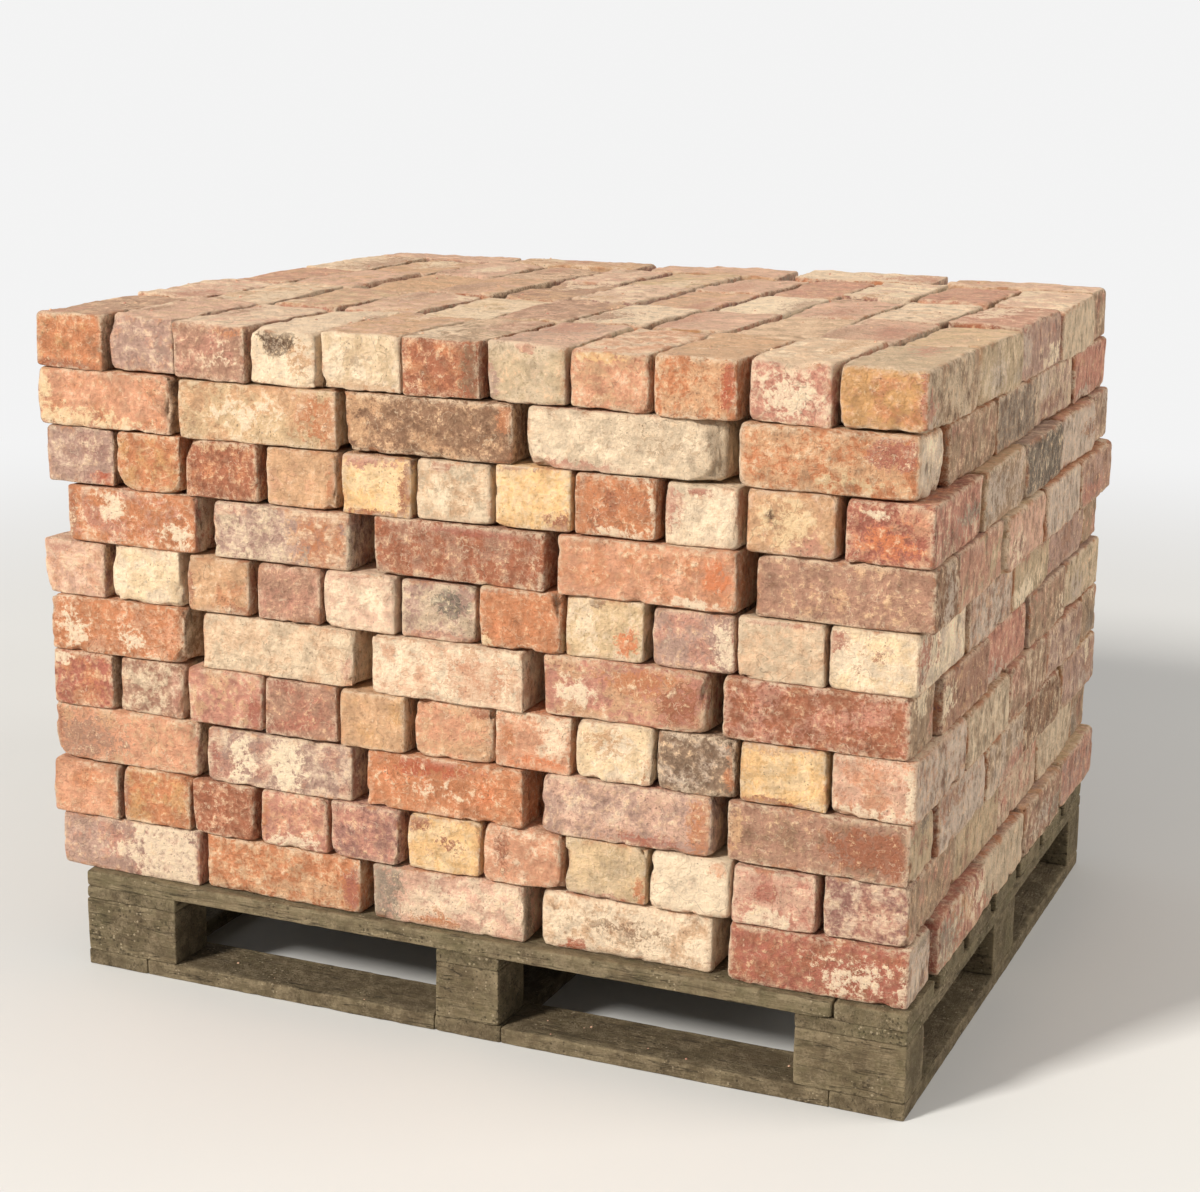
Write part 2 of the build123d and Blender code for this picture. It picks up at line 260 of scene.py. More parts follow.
    ),
    1: (
        ("mauve", "rose", 0.45, 0.3, 0.15, ("cream", 0.8, 0.5, 0.36, 1.2)),
        ("orange", "tan", 0.5, 0.25, 0.15, ("red", 0.95, 0.4, 0.08, 0.4)),
        ("pink", "cream", 0.45, 0.3, 0.1, ("grey", 0.05, 0.5, 0.18, 1.0),
         ("orange", 0.4, 0.1, 0.3, 0.3, 0.3)),
        ("cream", "tan", 0.45, 0.4, 0.3, ("scarlet", 0.2, 0.05, 0.1, 0.16),
         ("brown", 0.5, 0.5, 0.8, 0.7, 0.7)),
        ("red", "rust", 0.5, 0.2, 0.12, ("cream", 0.7, 0.4, 0.5, 0.8, 0.6),
         ("cream", 0.98, 0.3, 0.06, 0.5, 0.2)),
    ),
}

# What the bricks out of the front row are drawn from
side_bodies = (
    "dun", "dusk", "mauve", "dove", "moor", "rose", "olive", "dusk", "stone", "plum", "pink", "dun",
)
side_seconds = ("tan", "dove", "dun", "rose", "stone", "dusk")
back_bodies = ("orange", "rust", "salmon", "rose", "tan", "mauve", "red", "buff", "ochre", "plum", "orange")
back_seconds = ("tan", "cream", "rose", "orange", "mauve")
top_bodies = ("pink", "sand", "cream", "pink", "tan", "rose", "sand", "pink", "buff", "dusk", "lime", "cream")
front_row_tops = ("dusk", "pink", "pink", "cream", "tan", "dun", "mauve", "salmon", "tan", "lime", "olive")
top_seconds = ("sand", "cream", "tan", "rose", "pink")
side_stains = ("dove", "rose", "dusk", "grey", "lime")
back_stains = ("rust", "cream", "red", "orange", "brown")
top_stains = ("rose", "cream", "dusk", "tan", "lime")
stained_share = 0.25
# The right side's bodies, from the front to the back of each course
right_bodies = {
    10: ("dun", "olive", "mauve", "stone", "dun", "olive", "dove", "stone", "stone"),
    9: ("lime", "dun", "grey", "mauve", "rose", "dun"),
    8: ("rose", "dun", "slate", "dove", "mauve", "tan", "dun", "mauve", "dove"),
    7: ("brown", "olive", "pink", "dove", "mauve", "dun"),
    6: ("lime", "dove", "olive", "mauve", "dun", "stone", "dun", "olive", "dove"),
    5: ("dun", "dusk", "rose", "dun", "olive", "dove"),
    4: ("dove", "stone", "dusk", "mauve", "dun", "mauve", "dusk", "dove", "pink"),
    3: ("olive", "dove", "dun", "brown", "mauve", "dove"),
    2: ("dun", "olive", "rose", "stone", "dun", "brown", "mauve", "dove", "pink"),
    1: ("dove", "rose", "stone", "dusk", "mauve", "pink"),
}


def length(name, description, default):
    """A setting in metres."""
    return bpy.props.FloatProperty(name=name, description=description, default=default, unit="LENGTH")


def tint(name, description, *shade):
    """A setting that is a colour."""
    return bpy.props.FloatVectorProperty(
        name=name, description=description, default=linear(*shade), subtype="COLOR"
    )


class BrickSizes(bpy.types.PropertyGroup):
    """How worn the bricks are."""

    arris: length("Arris", "How round a brick's worn edges are", 0.004)
    chip: length("Chips", "How deep its edges are chipped", 0.034)
    wave: length("Waviness", "How uneven its faces are", 0.0024)
    warp: length("Warp", "How far a corner is out of square", 0.0022)
    grid: length("Grid", "How fine a visible face is divided", 0.0052)
    crumb: length("Crumbs", "Radius of the largest crumb of mortar", 0.0026)
    lime: tint("Lime", "Colour of the old mortar", 244, 221, 188)
    dust: tint("Dust", "Colour of the dust on the top", 230, 196, 164)
    seed: bpy.props.IntProperty(name="Seed", description="Picks another lot of bricks", default=11)


class TimberSizes(bpy.types.PropertyGroup):
    """How weathered the pallet is."""

    arris: length("Arris", "How round a board's worn edges are", 0.0016)
    chip: length("Splinters", "How deep its edges are broken", 0.007)
    wave: length("Waviness", "How uneven its faces are", 0.0007)
    warp: length("Warp", "How far a corner is out of square", 0.0008)
    grid: length("Grid", "How fine a visible face is divided", 0.008)
    nail_head: length("Nail head", "Radius of a nail's head", 0.0045)
    nail_height: length("Nail height", "How far a nail's head stands out", 0.0012)
    wood: tint("Wood", "Colour of the weathered wood", 126, 108, 82)
    moss: tint("Moss", "Colour of the green film on it", 104, 98, 68)


class StudioLook(bpy.types.PropertyGroup):
    """The stage and its light."""

    floor: tint("Floor", "Colour of the floor", 212, 211, 208)
    key: bpy.props.FloatProperty(
        name="Key light", description="Power of the lamp at the front left", default=3250.0, unit="POWER"
    )
    fill: bpy.props.FloatProperty(
        name="Fill light", description="Power of the lamp at the right", default=115.0, unit="POWER"
    )
    sky: bpy.props.FloatProperty(name="Sky", description="Strength of the light all round", default=0.42)


# Large odd factors that mix a cell's place and a seed into a number by chance
cell_factors = (73856093, 19349663, 83492791)
seed_factor = 40503
mixing_steps = ((13, 1274126177), (15, 668265263))
low_word = 0xFFFFFFFF
low_half = 0xFFFF


def noise_field(points, size, seed):
    """Smooth noise from -1 to 1 at each point, in lumps about size across."""
    scaled = points / size
    cell = np.floor(scaled).astype(np.int64)
    share = scaled - cell
    share = share * share * (3 - 2 * share)
    total = np.zeros(len(points))
    for corner in np.ndindex(2, 2, 2):
        at = cell + corner
        mixed = np.bitwise_xor.reduce(at * cell_factors, axis=1) ^ seed * seed_factor
        for shift, factor in mixing_steps:
            mixed = (mixed ^ (mixed >> shift)) * factor & low_word
        value = (mixed >> 8 & low_half) / low_half
        total += value * np.prod(np.where(corner, share, 1 - share), axis=1)
    return total * 2 - 1


def smooth_step(value, low, high):
    """0 below low, 1 above high and smooth between them."""
    share = np.clip((value - low) / (high - low), 0, 1)
    return share * share * (3 - 2 * share)


class Block:
    """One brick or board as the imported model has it: its middle, its half sizes and its turn."""

    def __init__(self, points, square):
        low, high = points.min(0), points.max(0)
        self.middle = (low + high) / 2
        flat = points[:, :2] - points[:, :2].mean(0)
        spread = flat.T @ flat
        turn = 0.5 * math.atan2(2 * spread[0, 1], spread[0, 0] - spread[1, 1])
        turn -= round(turn / (math.pi / 2)) * math.pi / 2
        self.turn = 0.0 if square else turn
        c, s = math.cos(self.turn), math.sin(self.turn)
        self.axes = np.array(((c, s, 0), (-s, c, 0), (0, 0, 1)))
        local = (points - self.middle) @ self.axes.T
        self.half = (local.max(0) - local.min(0)) / 2

    def placed(self, local):
        """Points of the block's own coordinates in their place."""
        return local @ self.axes + self.middle


# How much of a dent is rim, and how far behind the front face it ends and still has its full depth
dent_rim = 0.7
front_depth = 0.03
front_skin = 0.004


def on_front(points, half, across, up, reach):
    """How near each point is to a place on the front face, from 0 to 1."""
    middle = (np.array((across, up)) * 2 - 1) * half[[0, 2]]
    gap = np.linalg.norm(points[:, [0, 2]] - middle, axis=1) / reach
    near_face = smooth_step(-points[:, 1], half[1] - front_depth, half[1] - front_skin)
    return smooth_step(1 - gap, 0, dent_rim) * near_face


# Points nearer than this are one point
weld_gap = 1e-5


def blocks_of(node, square=False):
    """The separate blocks of a CAD node, which are square to the pallet or turned a little."""
    built = bmesh.new()
    built.from_mesh(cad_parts[node].data)
    bmesh.ops.remove_doubles(built, verts=built.verts, dist=weld_gap)
    left = set(built.verts)
    found = []
    while left:
        reached = [left.pop()]
        for point in reached:
            for edge in point.link_edges:
                other = edge.other_vert(point)
                if other in left:
                    left.remove(other)
                    reached.append(other)
        found.append(Block(np.array([point.co for point in reached]), square))
    built.free()
    return found


# How far in from an edge a side is cut. A thin side has no third cut.
edge_cuts = (0.002, 0.005, 0.010)
thin_half = 0.014
# The border that is left of a face that doesn't show, and the room it needs, in widths of it
strip_width = 0.018
strip_room = 1.3
# The play in finding a cut again
cut_play = 1e-6


def cuts_along(half, fine, grid):
    """Where the lattice cuts one side of a block, and how many cells its border strip has."""
    near = [0.0, *(edge_cuts if half > thin_half else edge_cuts[:2])]
    if fine:
        span = 2 * (half - near[-1])
        count = max(2, round(span / grid))
        inner = [near[-1] + span * k / count for k in range(1, count)]
    else:
        wide = half > strip_width * strip_room
        inner = [strip_width, half, 2 * half - strip_width] if wide else [half]
    cuts = np.array(near + inner + [2 * half - cut for cut in reversed(near)]) - half
    strip = int(np.searchsorted(cuts + half, min(strip_width, half) - cut_play))
    return cuts, strip


def lattice(half, seen, grid):
    """A closed box of cells, fine where it is seen: its points, its quads and its wide faces."""
    cuts, strips = [], []
    for axis in range(3):
        fine = any(seen[other] for other in range(6) if other // 2 != axis)
        made, strip = cuts_along(half[axis], fine, grid)
        cuts.append(made)
        strips.append(strip)
    counts = [len(made) for made in cuts]
    number = np.arange(math.prod(counts)).reshape(counts)
    quads, wides = [], []
    for face in range(6):
        axis, end = divmod(face, 2)
        grid_of = np.take(number, -1 if end else 0, axis=axis)
        first, second = [other for other in range(3) if other != axis]
        rows, columns = grid_of.shape[0] - 1, grid_of.shape[1] - 1
        if seen[face]:
            low, high = (0, 0), (0, 0)
        else:
            low = [strips[other] if seen[2 * other] else 0 for other in (first, second)]
            high = [
                last - (strips[other] if seen[2 * other + 1] else 0)
                for other, last in ((first, rows), (second, columns))
            ]
        kept = np.ones((rows, columns), bool)
        if high[0] > low[0] and high[1] > low[1]:
            kept[low[0] : high[0], low[1] : high[1]] = False
            bottom = [grid_of[row, low[1]] for row in range(low[0], high[0])]
            right = [grid_of[high[0], column] for column in range(low[1], high[1])]
            top = [grid_of[row, high[1]] for row in range(high[0], low[0], -1)]
            left = [grid_of[low[0], column] for column in range(high[1], low[1], -1)]
            wide = bottom + right + top + left
        else:
            wide = None
        cells = np.stack(
            (grid_of[:-1, :-1], grid_of[1:, :-1], grid_of[1:, 1:], grid_of[:-1, 1:]), axis=-1
        )[kept]
        if (axis == 1) != (end == 0):
            cells = cells[:, ::-1]
            wide = wide and wide[::-1]
        quads.append(cells)
        if wide:
            wides.append(wide)
    quads = np.concatenate(quads)
    used = np.unique(np.concatenate([quads.ravel(), *[np.array(wide) for wide in wides]]))
    renumber = np.zeros(number.size, np.int64)
    renumber[used] = np.arange(len(used))
    spread = np.unravel_index(used, counts)
    points = np.stack([cuts[axis][spread[axis]] for axis in range(3)], axis=-1)
    return points, renumber[quads], [renumber[np.array(wide)] for wide in wides]


def layered(place, seed, layers):
    """Noise in layers."""
    return sum(noise_field(place, size, seed + own) * weight for size, weight, own in layers)


edge_reach = 0.014
corner_reach = 0.030
# The layers of noise: how large the lumps are, what they weigh, and their own seed
ragged_layers = ((0.042, 0.5, 0), (0.017, 0.45, 1), (0.008, 0.25, 8))
broken_layers = ((0.036, 0.6, 2), (0.014, 0.4, 3))
uneven_layers = ((0.060, 0.5, 5), (0.022, 0.35, 6), (0.009, 0.25, 7))
corner_layers = ((0.05, 1.6, 4),)
# How far the noise of the chips rises before an edge breaks
chip_level = 0.26
# How much rounder a corner is than an edge, and the limits, as shares of the arris and of the block
corner_round = 0.7
least_round = 0.3
most_round = 0.85
# What the warp and the waves leave in place, and how much of the noise the waves take
warp_level = 0.25
wave_level = 0.1
wave_share = 0.75
# How far apart two pieces stand in the noise, a seed apart
noise_step = 0.37


def worn(points, half, arris, sizes, seed, bed=0.35, dents=()):
    """The lattice's points drawn in to a worn block, the way each looks out, and how near it is to an edge.
    bed is how uneven its beds are beside its other faces. A dent at the rim of the front face
    rounds its edge off, and one inside it is a hollow."""
    place = points + seed * noise_step
    upright = np.array((1, 1, bed))
    corner_pull = np.array([
        [random.Random(f"{seed} {corner} {axis}").random() for axis in range(3)] for corner in range(8)
    ])
    share = points / half * 0.5 + 0.5
    pull = np.zeros_like(points)
    for corner, ends in enumerate(np.ndindex(2, 2, 2)):
        weight = np.prod(np.where(ends, share, 1 - share), axis=1)
        inward = (corner_pull[corner] - warp_level) * np.where(ends, -1, 1)
        pull += weight[:, None] * inward * sizes.warp * upright
    near = np.sort(half - np.abs(points), axis=1)
    edge = np.clip(1 - near[:, 1] / edge_reach, 0, 1)
    radius = arris * (1 + layered(place, seed, ragged_layers))
    radius += sizes.chip * np.clip(layered(place, seed, broken_layers) - chip_level, 0, 1)
    corner_near = np.clip(1 - near[:, 2] / corner_reach, 0, 1)
    radius += corner_near * arris * (corner_round + layered(place, seed, corner_layers))
    hollow = np.zeros(len(points))
    for across, up, wide, deep in dents:
        nearness = on_front(points, half, across, up, wide)
        if min(across, up) <= 0 or max(across, up) >= 1:
            radius += nearness * deep
        else:
            hollow += nearness * deep
    radius = np.clip(radius, arris * least_round, half.min() * most_round)[:, None]
    inner = np.clip(points, radius - half, half - radius)
    out = points - inner
    reach = np.linalg.norm(out, axis=1, keepdims=True)
    out /= np.maximum(reach, 1e-9)
    uneven = layered(place, seed, uneven_layers)
    drawn_in = (sizes.wave * (wave_level - wave_share * uneven))[:, None] * upright
    moved = inner + out * (radius - drawn_in) + pull
    moved[:, 1] += hollow
    return moved, out, edge


def linked(name, data):
    """A new object in the scene."""
    made = bpy.data.objects.new(name, data)
    bpy.context.scene.collection.objects.link(made)
    return made


class Batch:
    """Gathers many worn blocks into one piece."""

    def __init__(self):
        self.points = []
        self.quads = []
        self.wides = []
        self.marks = {}
        self.count = 0

    def add(self, points, quads, wides, marks):
        """Adds one block with what its material reads at each point."""
        self.points.append(points)
        self.quads.append(quads + self.count)
        self.wides += [wide + self.count for wide in wides]
        for name, values in marks.items():
            self.marks.setdefault(name, []).append(values)
        self.count += len(points)

    def build(self, name, material):
        """Makes the piece."""
        quads = np.concatenate(self.quads)
        sizes = np.concatenate((np.full(len(quads), 4), [len(wide) for wide in self.wides])).astype(np.int64)
        corners = np.concatenate((quads.ravel(), *self.wides))
        mesh = bpy.data.meshes.new(name)
        mesh.vertices.add(self.count)
        mesh.vertices.foreach_set("co", np.concatenate(self.points).astype(np.float32).ravel())
        mesh.loops.add(len(corners))
        mesh.loops.foreach_set("vertex_index", corners.astype(np.int32))
        mesh.polygons.add(len(sizes))
        mesh.polygons.foreach_set("loop_start", (np.cumsum(sizes) - sizes).astype(np.int32))
        mesh.polygons.foreach_set("use_smooth", sizes == 4)
        mesh.update(calc_edges=True)
        for mark, values in self.marks.items():
            values = np.concatenate(values).astype(np.float32)
            kind = "FLOAT_VECTOR" if values.shape[1] == 3 else "FLOAT_COLOR"
            held = mesh.attributes.new(mark, kind, "POINT")
            held.data.foreach_set("vector" if kind == "FLOAT_VECTOR" else "color", values.ravel())
        mesh.materials.append(material)
        return linked(name, mesh)


def rgba(colour):
    """A clay by its name, or a colour, with full cover."""
    red, green, blue = clay[colour] if isinstance(colour, str) else colour
    return (red, green, blue, 1.0)


class Graph:
    """Adds nodes to a tree and joins them."""

    def __init__(self, tree):
        self.tree = tree

    def add(self, kind, feeds=None, **settings):
        """A node of that kind, with its settings and what goes into its sockets."""
        made = self.tree.nodes.new(kind)
        for name, value in settings.items():
            setattr(made, name, value)
        for socket, value in (feeds or {}).items():
            self.feed(made.inputs[socket], value)
        return made

    def feed(self, socket, value):
        """Joins an output to a socket, or sets the socket."""
        if isinstance(value, bpy.types.NodeSocket):
            self.tree.links.new(value, socket)
        else:
            socket.default_value = value

    def math(self, operation, first, second=0.0, third=0.0):
        """One step of arithmetic."""
        return self.add("ShaderNodeMath", {0: first, 1: second, 2: third}, operation=operation).outputs[0]

    def times(self, first, second):
        """Two values multiplied."""
        return self.math("MULTIPLY", first, second)

    def mix(self, share, under, over, blend="MIX"):
        """One colour laid over another."""
        feeds = {0: share, 6: under, 7: over}
        return self.add("ShaderNodeMix", feeds, data_type="RGBA", blend_type=blend).outputs[2]

    def shade(self, colour, light):
        """A colour multiplied by how light it is."""
        return self.mix(1.0, colour, light, "MULTIPLY")

    def coated(self, colour, *coats):
        """A colour with coats laid on in turn: each is a colour, the mask where it shows, and its share."""
        for over, mask, share in coats:
            colour = self.mix(self.times(mask, share), colour, rgba(over))
        return colour

    def noise(self, place, scale, detail=3.0, rough=0.55):
        """Noise from 0 to 1."""
        feeds = {"Vector": place, "Scale": scale, "Detail": detail, "Roughness": rough}
        return self.add("ShaderNodeTexNoise", feeds).outputs["Fac"]

    def ramp(self, value, low, high, bottom=0.0, top=1.0):
        """A smooth step between low and high."""
        feeds = {0: value, 1: low, 2: high, 3: bottom, 4: top}
        return self.add("ShaderNodeMapRange", feeds, interpolation_type="SMOOTHSTEP").outputs[0]

    def group(self, name, **feeds):
        """A group of the file placed in this tree."""
        made = self.tree.nodes.new("ShaderNodeGroup")
        made.node_tree = bpy.data.node_groups[name]
        for socket, value in feeds.items():
            self.feed(made.inputs[socket.replace("_", " ")], value)
        return made.outputs


socket_kinds = {
    "value": "NodeSocketFloat",
    "vector": "NodeSocketVector",
    "count": "NodeSocketInt",
    "material": "NodeSocketMaterial",
    "mesh": "NodeSocketGeometry",
}


def new_tree(kind, name, inputs, outputs):
    """An empty group with its sockets: its graph, what it is given and its result."""
    tree = bpy.data.node_groups.new(name, kind)
    for socket, sort, default in inputs:
        made = tree.interface.new_socket(socket, in_out="INPUT", socket_type=socket_kinds[sort])
        if default is not None:
            made.default_value = default
    for socket, sort in outputs:
        tree.interface.new_socket(socket, in_out="OUTPUT", socket_type=socket_kinds[sort])
    graph = Graph(tree)
    return graph, graph.add("NodeGroupInput").outputs, graph.add("NodeGroupOutput").inputs


def new_effect(name, values, outputs=("Mask",), placed=True):
    """An empty shader group that turns values, and a place where it has one, into other values."""
    inputs = [("Place", "vector", None)] if placed else []
    inputs += [(value, "value", default) for value, default in values.items()]
    return new_tree("ShaderNodeTree", name, inputs, [(output, "value") for output in outputs])


def make_ragged_cover():
    """Group: where a broad and a fine field together rise above a share of the surface."""
    values = {"Broad": 0.5, "Fine": 0.5, "Share": 0.5, "Softness": 0.08}
    graph, given, result = new_effect("Ragged Cover", values, placed=False)
    blended = graph.math("MULTIPLY_ADD", given["Broad"], 0.6, graph.times(given["Fine"], 0.4))
    level = graph.math("SUBTRACT", graph.math("MULTIPLY_ADD", given["Share"], 0.5, blended), 0.75)
    low = graph.times(given["Softness"], -1.0)
    graph.feed(result["Mask"], graph.ramp(level, low, given["Softness"]))


def make_patchy_mask():
    """Group: ragged patches that cover a share of the surface."""
    values = {"Share": 0.5, "Scale": 30.0, "Softness": 0.08}
    graph, given, result = new_effect("Patchy Mask", values)
    broad = graph.noise(given["Place"], given["Scale"], 4.0, 0.65)
    fine = graph.noise(given["Place"], graph.times(given["Scale"], 6.5), 3.0, 0.6)
    graph.feed(result["Mask"], covered(graph, broad, fine, given["Share"], given["Softness"]))


def make_pits_and_specks():
    """Group: small dark pits and pale specks."""
    values = {"Scale": 150.0, "Amount": 0.4}
    graph, given, result = new_effect("Pits and Specks", values, ("Pits", "Specks"))
    for output, shift, weight in (("Pits", 0.0, 0.55), ("Specks", 7.3, 0.45)):
        feeds = {0: given["Place"], 1: (shift, shift, shift)}
        moved = graph.add("ShaderNodeVectorMath", feeds, operation="ADD").outputs[0]
        cells = graph.add("ShaderNodeTexVoronoi", {"Vector": moved, "Scale": given["Scale"]}).outputs
        drawn = graph.add("ShaderNodeSeparateColor", {0: cells["Color"]}).outputs[0]
        size = graph.times(graph.math("SUBTRACT", graph.times(given["Amount"], 1.6), drawn), weight)
        gap = graph.math("SUBTRACT", size, cells["Distance"])
        graph.feed(result[output], graph.ramp(gap, 0.0, 0.16))


def make_creases():
    """Group: thin broken lines, as of cracks and drag marks."""
    graph, given, result = new_effect("Creases", {"Scale": 24.0, "Width": 0.02})
    wander = graph.noise(given["Place"], given["Scale"], 3.0, 0.6)
    gap = graph.math("ABSOLUTE", graph.math("SUBTRACT", wander, 0.5))
    line = graph.ramp(gap, 0.0, given["Width"], 1.0, 0.0)
    broken = graph.noise(given["Place"], graph.times(given["Scale"], 1.7), 2.0, 0.5)
    graph.feed(result["Mask"], graph.times(line, graph.ramp(broken, 0.48, 0.6)))


def make_settled_dust():
    """Group: dust on what faces up, thicker in patches."""
    graph, given, result = new_effect("Settled Dust", {"Amount": 0.5})
    normal = graph.add("ShaderNodeNewGeometry").outputs["Normal"]
    upward = graph.add("ShaderNodeSeparateXYZ", {0: normal}).outputs["Z"]
    facing = graph.ramp(upward, 0.35, 0.95)
    patches = graph.ramp(graph.noise(given["Place"], 9.0, 3.0, 0.65), 0.28, 0.66, 0.45, 1.0)
    cover = graph.times(graph.times(facing, patches), given["Amount"])
    graph.feed(result["Mask"], graph.math("MINIMUM", cover, 1.0))


def make_surface_relief():
    """Group: the height of a rough surface, from broad lumps down to grains."""
    graph, given, result = new_effect("Surface Relief", {"Scale": 60.0}, ("Height",))
    lumps = graph.noise(given["Place"], given["Scale"], 3.0, 0.6)
    grains = graph.noise(given["Place"], graph.times(given["Scale"], 7.0), 4.0, 0.7)
    graph.feed(result["Height"], graph.math("MULTIPLY_ADD", lumps, 0.6, graph.times(grains, 0.4)))


def new_material(name, roughness, specular=0.5, metallic=0.0):
    """A material with a graph that holds its shader and its output."""
    material = bpy.data.materials.new(name)
    material.use_nodes = True
    material.node_tree.nodes.clear()
    graph = Graph(material.node_tree)
    shader = graph.add("ShaderNodeBsdfPrincipled")
    shader.inputs["Roughness"].default_value = roughness
    shader.inputs["Specular IOR Level"].default_value = specular
    shader.inputs["Metallic"].default_value = metallic
    output = graph.add("ShaderNodeOutputMaterial")
    graph.feed(output.inputs["Surface"], shader.outputs[0])
    return material, graph, shader


def surface(graph, shader, colour, height, strength, distance):
    """Gives the shader its colour and its relief."""
    graph.feed(shader.inputs["Base Color"], colour)
    made = graph.add("ShaderNodeBump", {"Height": height, "Strength": strength, "Distance": distance})
    graph.feed(shader.inputs["Normal"], made.outputs[0])


def read_mark(graph, name):
    """An attribute that the piece's points hold."""
    return graph.add("ShaderNodeAttribute", attribute_name=name).outputs


def own_place(graph):
    """Where a point is in its own object."""
    return graph.add("ShaderNodeTexCoord").outputs["Object"]


def covered(graph, broad, fine, share, softness):
    """The mask of the group Ragged Cover."""
    return graph.group("Ragged Cover", Broad=broad, Fine=fine, Share=share, Softness=softness)["Mask"]


def patchy(graph, place, share, scale, softness):
    """The mask of the group Patchy Mask."""
    return graph.group("Patchy Mask", Place=place, Share=share, Scale=scale, Softness=softness)["Mask"]


def pitted(graph, place, scale, amount):
    """The masks of the group Pits and Specks."""
    return graph.group("Pits and Specks", Place=place, Scale=scale, Amount=amount)


def creased(graph, place, scale, width):
    """The mask of the group Creases."""
    return graph.group("Creases", Place=place, Scale=scale, Width=width)["Mask"]


def dusted(graph, place, amount):
    """The mask of the group Settled Dust."""
    return graph.group("Settled Dust", Place=place, Amount=amount)["Mask"]


def rough(graph, place, scale):
    """The height of the group Surface Relief."""
    return graph.group("Surface Relief", Place=place, Scale=scale)["Height"]


def drag_relief_and_painted_light(graph, place):
    """The grain that a brick's making dragged over it, and the groove and ridge masks at its sides: the
    groove mask sinks the relief and carries painted shade, the ridge mask carries a painted highlight.
    """
    normal = graph.add("ShaderNodeNewGeometry").outputs["Normal"]
    sideways = graph.math("ABSOLUTE", graph.add("ShaderNodeSeparateXYZ", {0: normal}).outputs["X"])
    on_side = graph.ramp(sideways, 0.5, 0.85)
    level = graph.add("ShaderNodeMapping", {"Vector": place, "Scale": (0.22, 0.22, 1.0)}).outputs[0]
    upright = graph.add("ShaderNodeMapping", {"Vector": place, "Scale": (0.26, 0.28, 0.12)}).outputs[0]
    dragged = graph.noise(graph.mix(on_side, level, upright), 240.0, 3.0, 0.7)
    # Masks for painted shade in each side groove and a painted highlight on each side ridge; the groove mask
    # also sinks the relief
    groove_depth_and_shade = graph.times(graph.ramp(dragged, 0.33, 0.45, 1.0, 0.0), on_side)
    ridge_highlight = graph.times(graph.ramp(dragged, 0.55, 0.66), on_side)
    return dragged, groove_depth_and_shade, ridge_highlight


def make_brick_material(name, sizes):
    """Reclaimed brick: two fired clays, spots, flecks, side groove relief with painted shade in it, a painted
    highlight on the side ridge relief, painted light and shade along the drag relief, lime, grime, pits,
    creases and dust.
    """
    material, graph, shader = new_material(name, roughness=0.92, specular=0.25)
    place = read_mark(graph, "brick_place")["Vector"]
    body, second, spot, wear = (read_mark(graph, mark) for mark in ("body", "second", "spot", "wear"))
    split = graph.add("ShaderNodeSeparateColor", {0: wear["Color"]}).outputs
    lime_share, grime_share, edge = split[0], split[1], split[2]
    broad = graph.noise(place, 26.0, 4.0, 0.68)
    other = graph.noise(place, 43.0, 4.0, 0.66)
    fine = graph.noise(place, 115.0, 5.0, 0.78)
    mottled = covered(graph, broad, fine, second["Alpha"], 0.05)
    colour = graph.mix(graph.times(mottled, 0.8), body["Color"], second["Color"])
    colour = graph.shade(colour, graph.ramp(other, 0.30, 0.68, 0.84, 1.32))
    colour = graph.mix(graph.ramp(fine, 0.42, 0.66, 0.0, 0.32), colour, rgba("sand"))
    ragged = graph.math("SUBTRACT", graph.math("ADD", fine, other), 1.0)
    spotted = graph.ramp(graph.math("MULTIPLY_ADD", ragged, 2.5, spot["Alpha"]), -0.02, 0.34)
    spotted = graph.times(spotted, graph.ramp(fine, 0.36, 0.56, 0.5, 1.0))
    colour = graph.mix(spotted, colour, spot["Color"])
    clumps = graph.ramp(other, 0.42, 0.62, 0.06, 0.75)
    colour = graph.coated(colour, ("fleck", graph.ramp(fine, 0.54, 0.62), clumps))
    smoked = graph.ramp(fine, 0.35, 0.44, 0.5, 0.0)
    colour = graph.mix(smoked, colour, graph.mix(0.6, colour, rgba("soot")))
    dragged, groove_depth_and_shade, ridge_highlight = drag_relief_and_painted_light(graph, place)
    # Painted light and shade: lighter where the drag relief stands high, darker where it sinks
    colour = graph.shade(colour, graph.ramp(dragged, 0.3, 0.7, 0.97, 1.08))
    limed = covered(graph, other, fine, lime_share, 0.07)
    dirty = covered(graph, graph.math("SUBTRACT", 1.0, other), fine, grime_share, 0.05)
    # Painted shade in each side groove and a painted highlight on each side ridge, then lime and grime
    colour = graph.coated(
        colour,
        ("umber", groove_depth_and_shade, 0.3),
        ("dove", ridge_highlight, 0.3),
        (sizes.lime, limed, graph.ramp(dragged, 0.35, 0.62, 0.25, 0.65)),
        ("soot", dirty, 0.45),
    )
    rims = graph.times(graph.math("POWER", edge, 2.0), graph.ramp(fine, 0.40, 0.54))
    bared = graph.mix(graph.ramp(broad, 0.40, 0.50), rgba("orange"), rgba("cream"))
    colour = graph.mix(graph.times(rims, 0.75), colour, bared)
    crowded = graph.ramp(broad, 0.4, 0.65, 0.08, 0.5)
    colour = graph.coated(
        colour,
        ("umber", pitted(graph, place, scale=240.0, amount=crowded)["Pits"], 0.5),
        ("umber", pitted(graph, place, scale=95.0, amount=graph.times(crowded, 0.4))["Pits"], 0.55),
        ("umber", creased(graph, place, scale=11.0, width=0.006), 0.35),
        ("lime", creased(graph, place, scale=38.0, width=0.018), 0.38),
        (sizes.dust, dusted(graph, place, wear["Alpha"]), 0.36),
    )
    relief = graph.math("MULTIPLY_ADD", other, 0.6, graph.times(fine, 0.95))
    relief = graph.math("MULTIPLY_ADD", dragged, 0.12, relief)
    relief = graph.math("MULTIPLY_ADD", groove_depth_and_shade, -0.6, relief)
    surface(graph, shader, colour, relief, strength=1.0, distance=0.008)
    return material


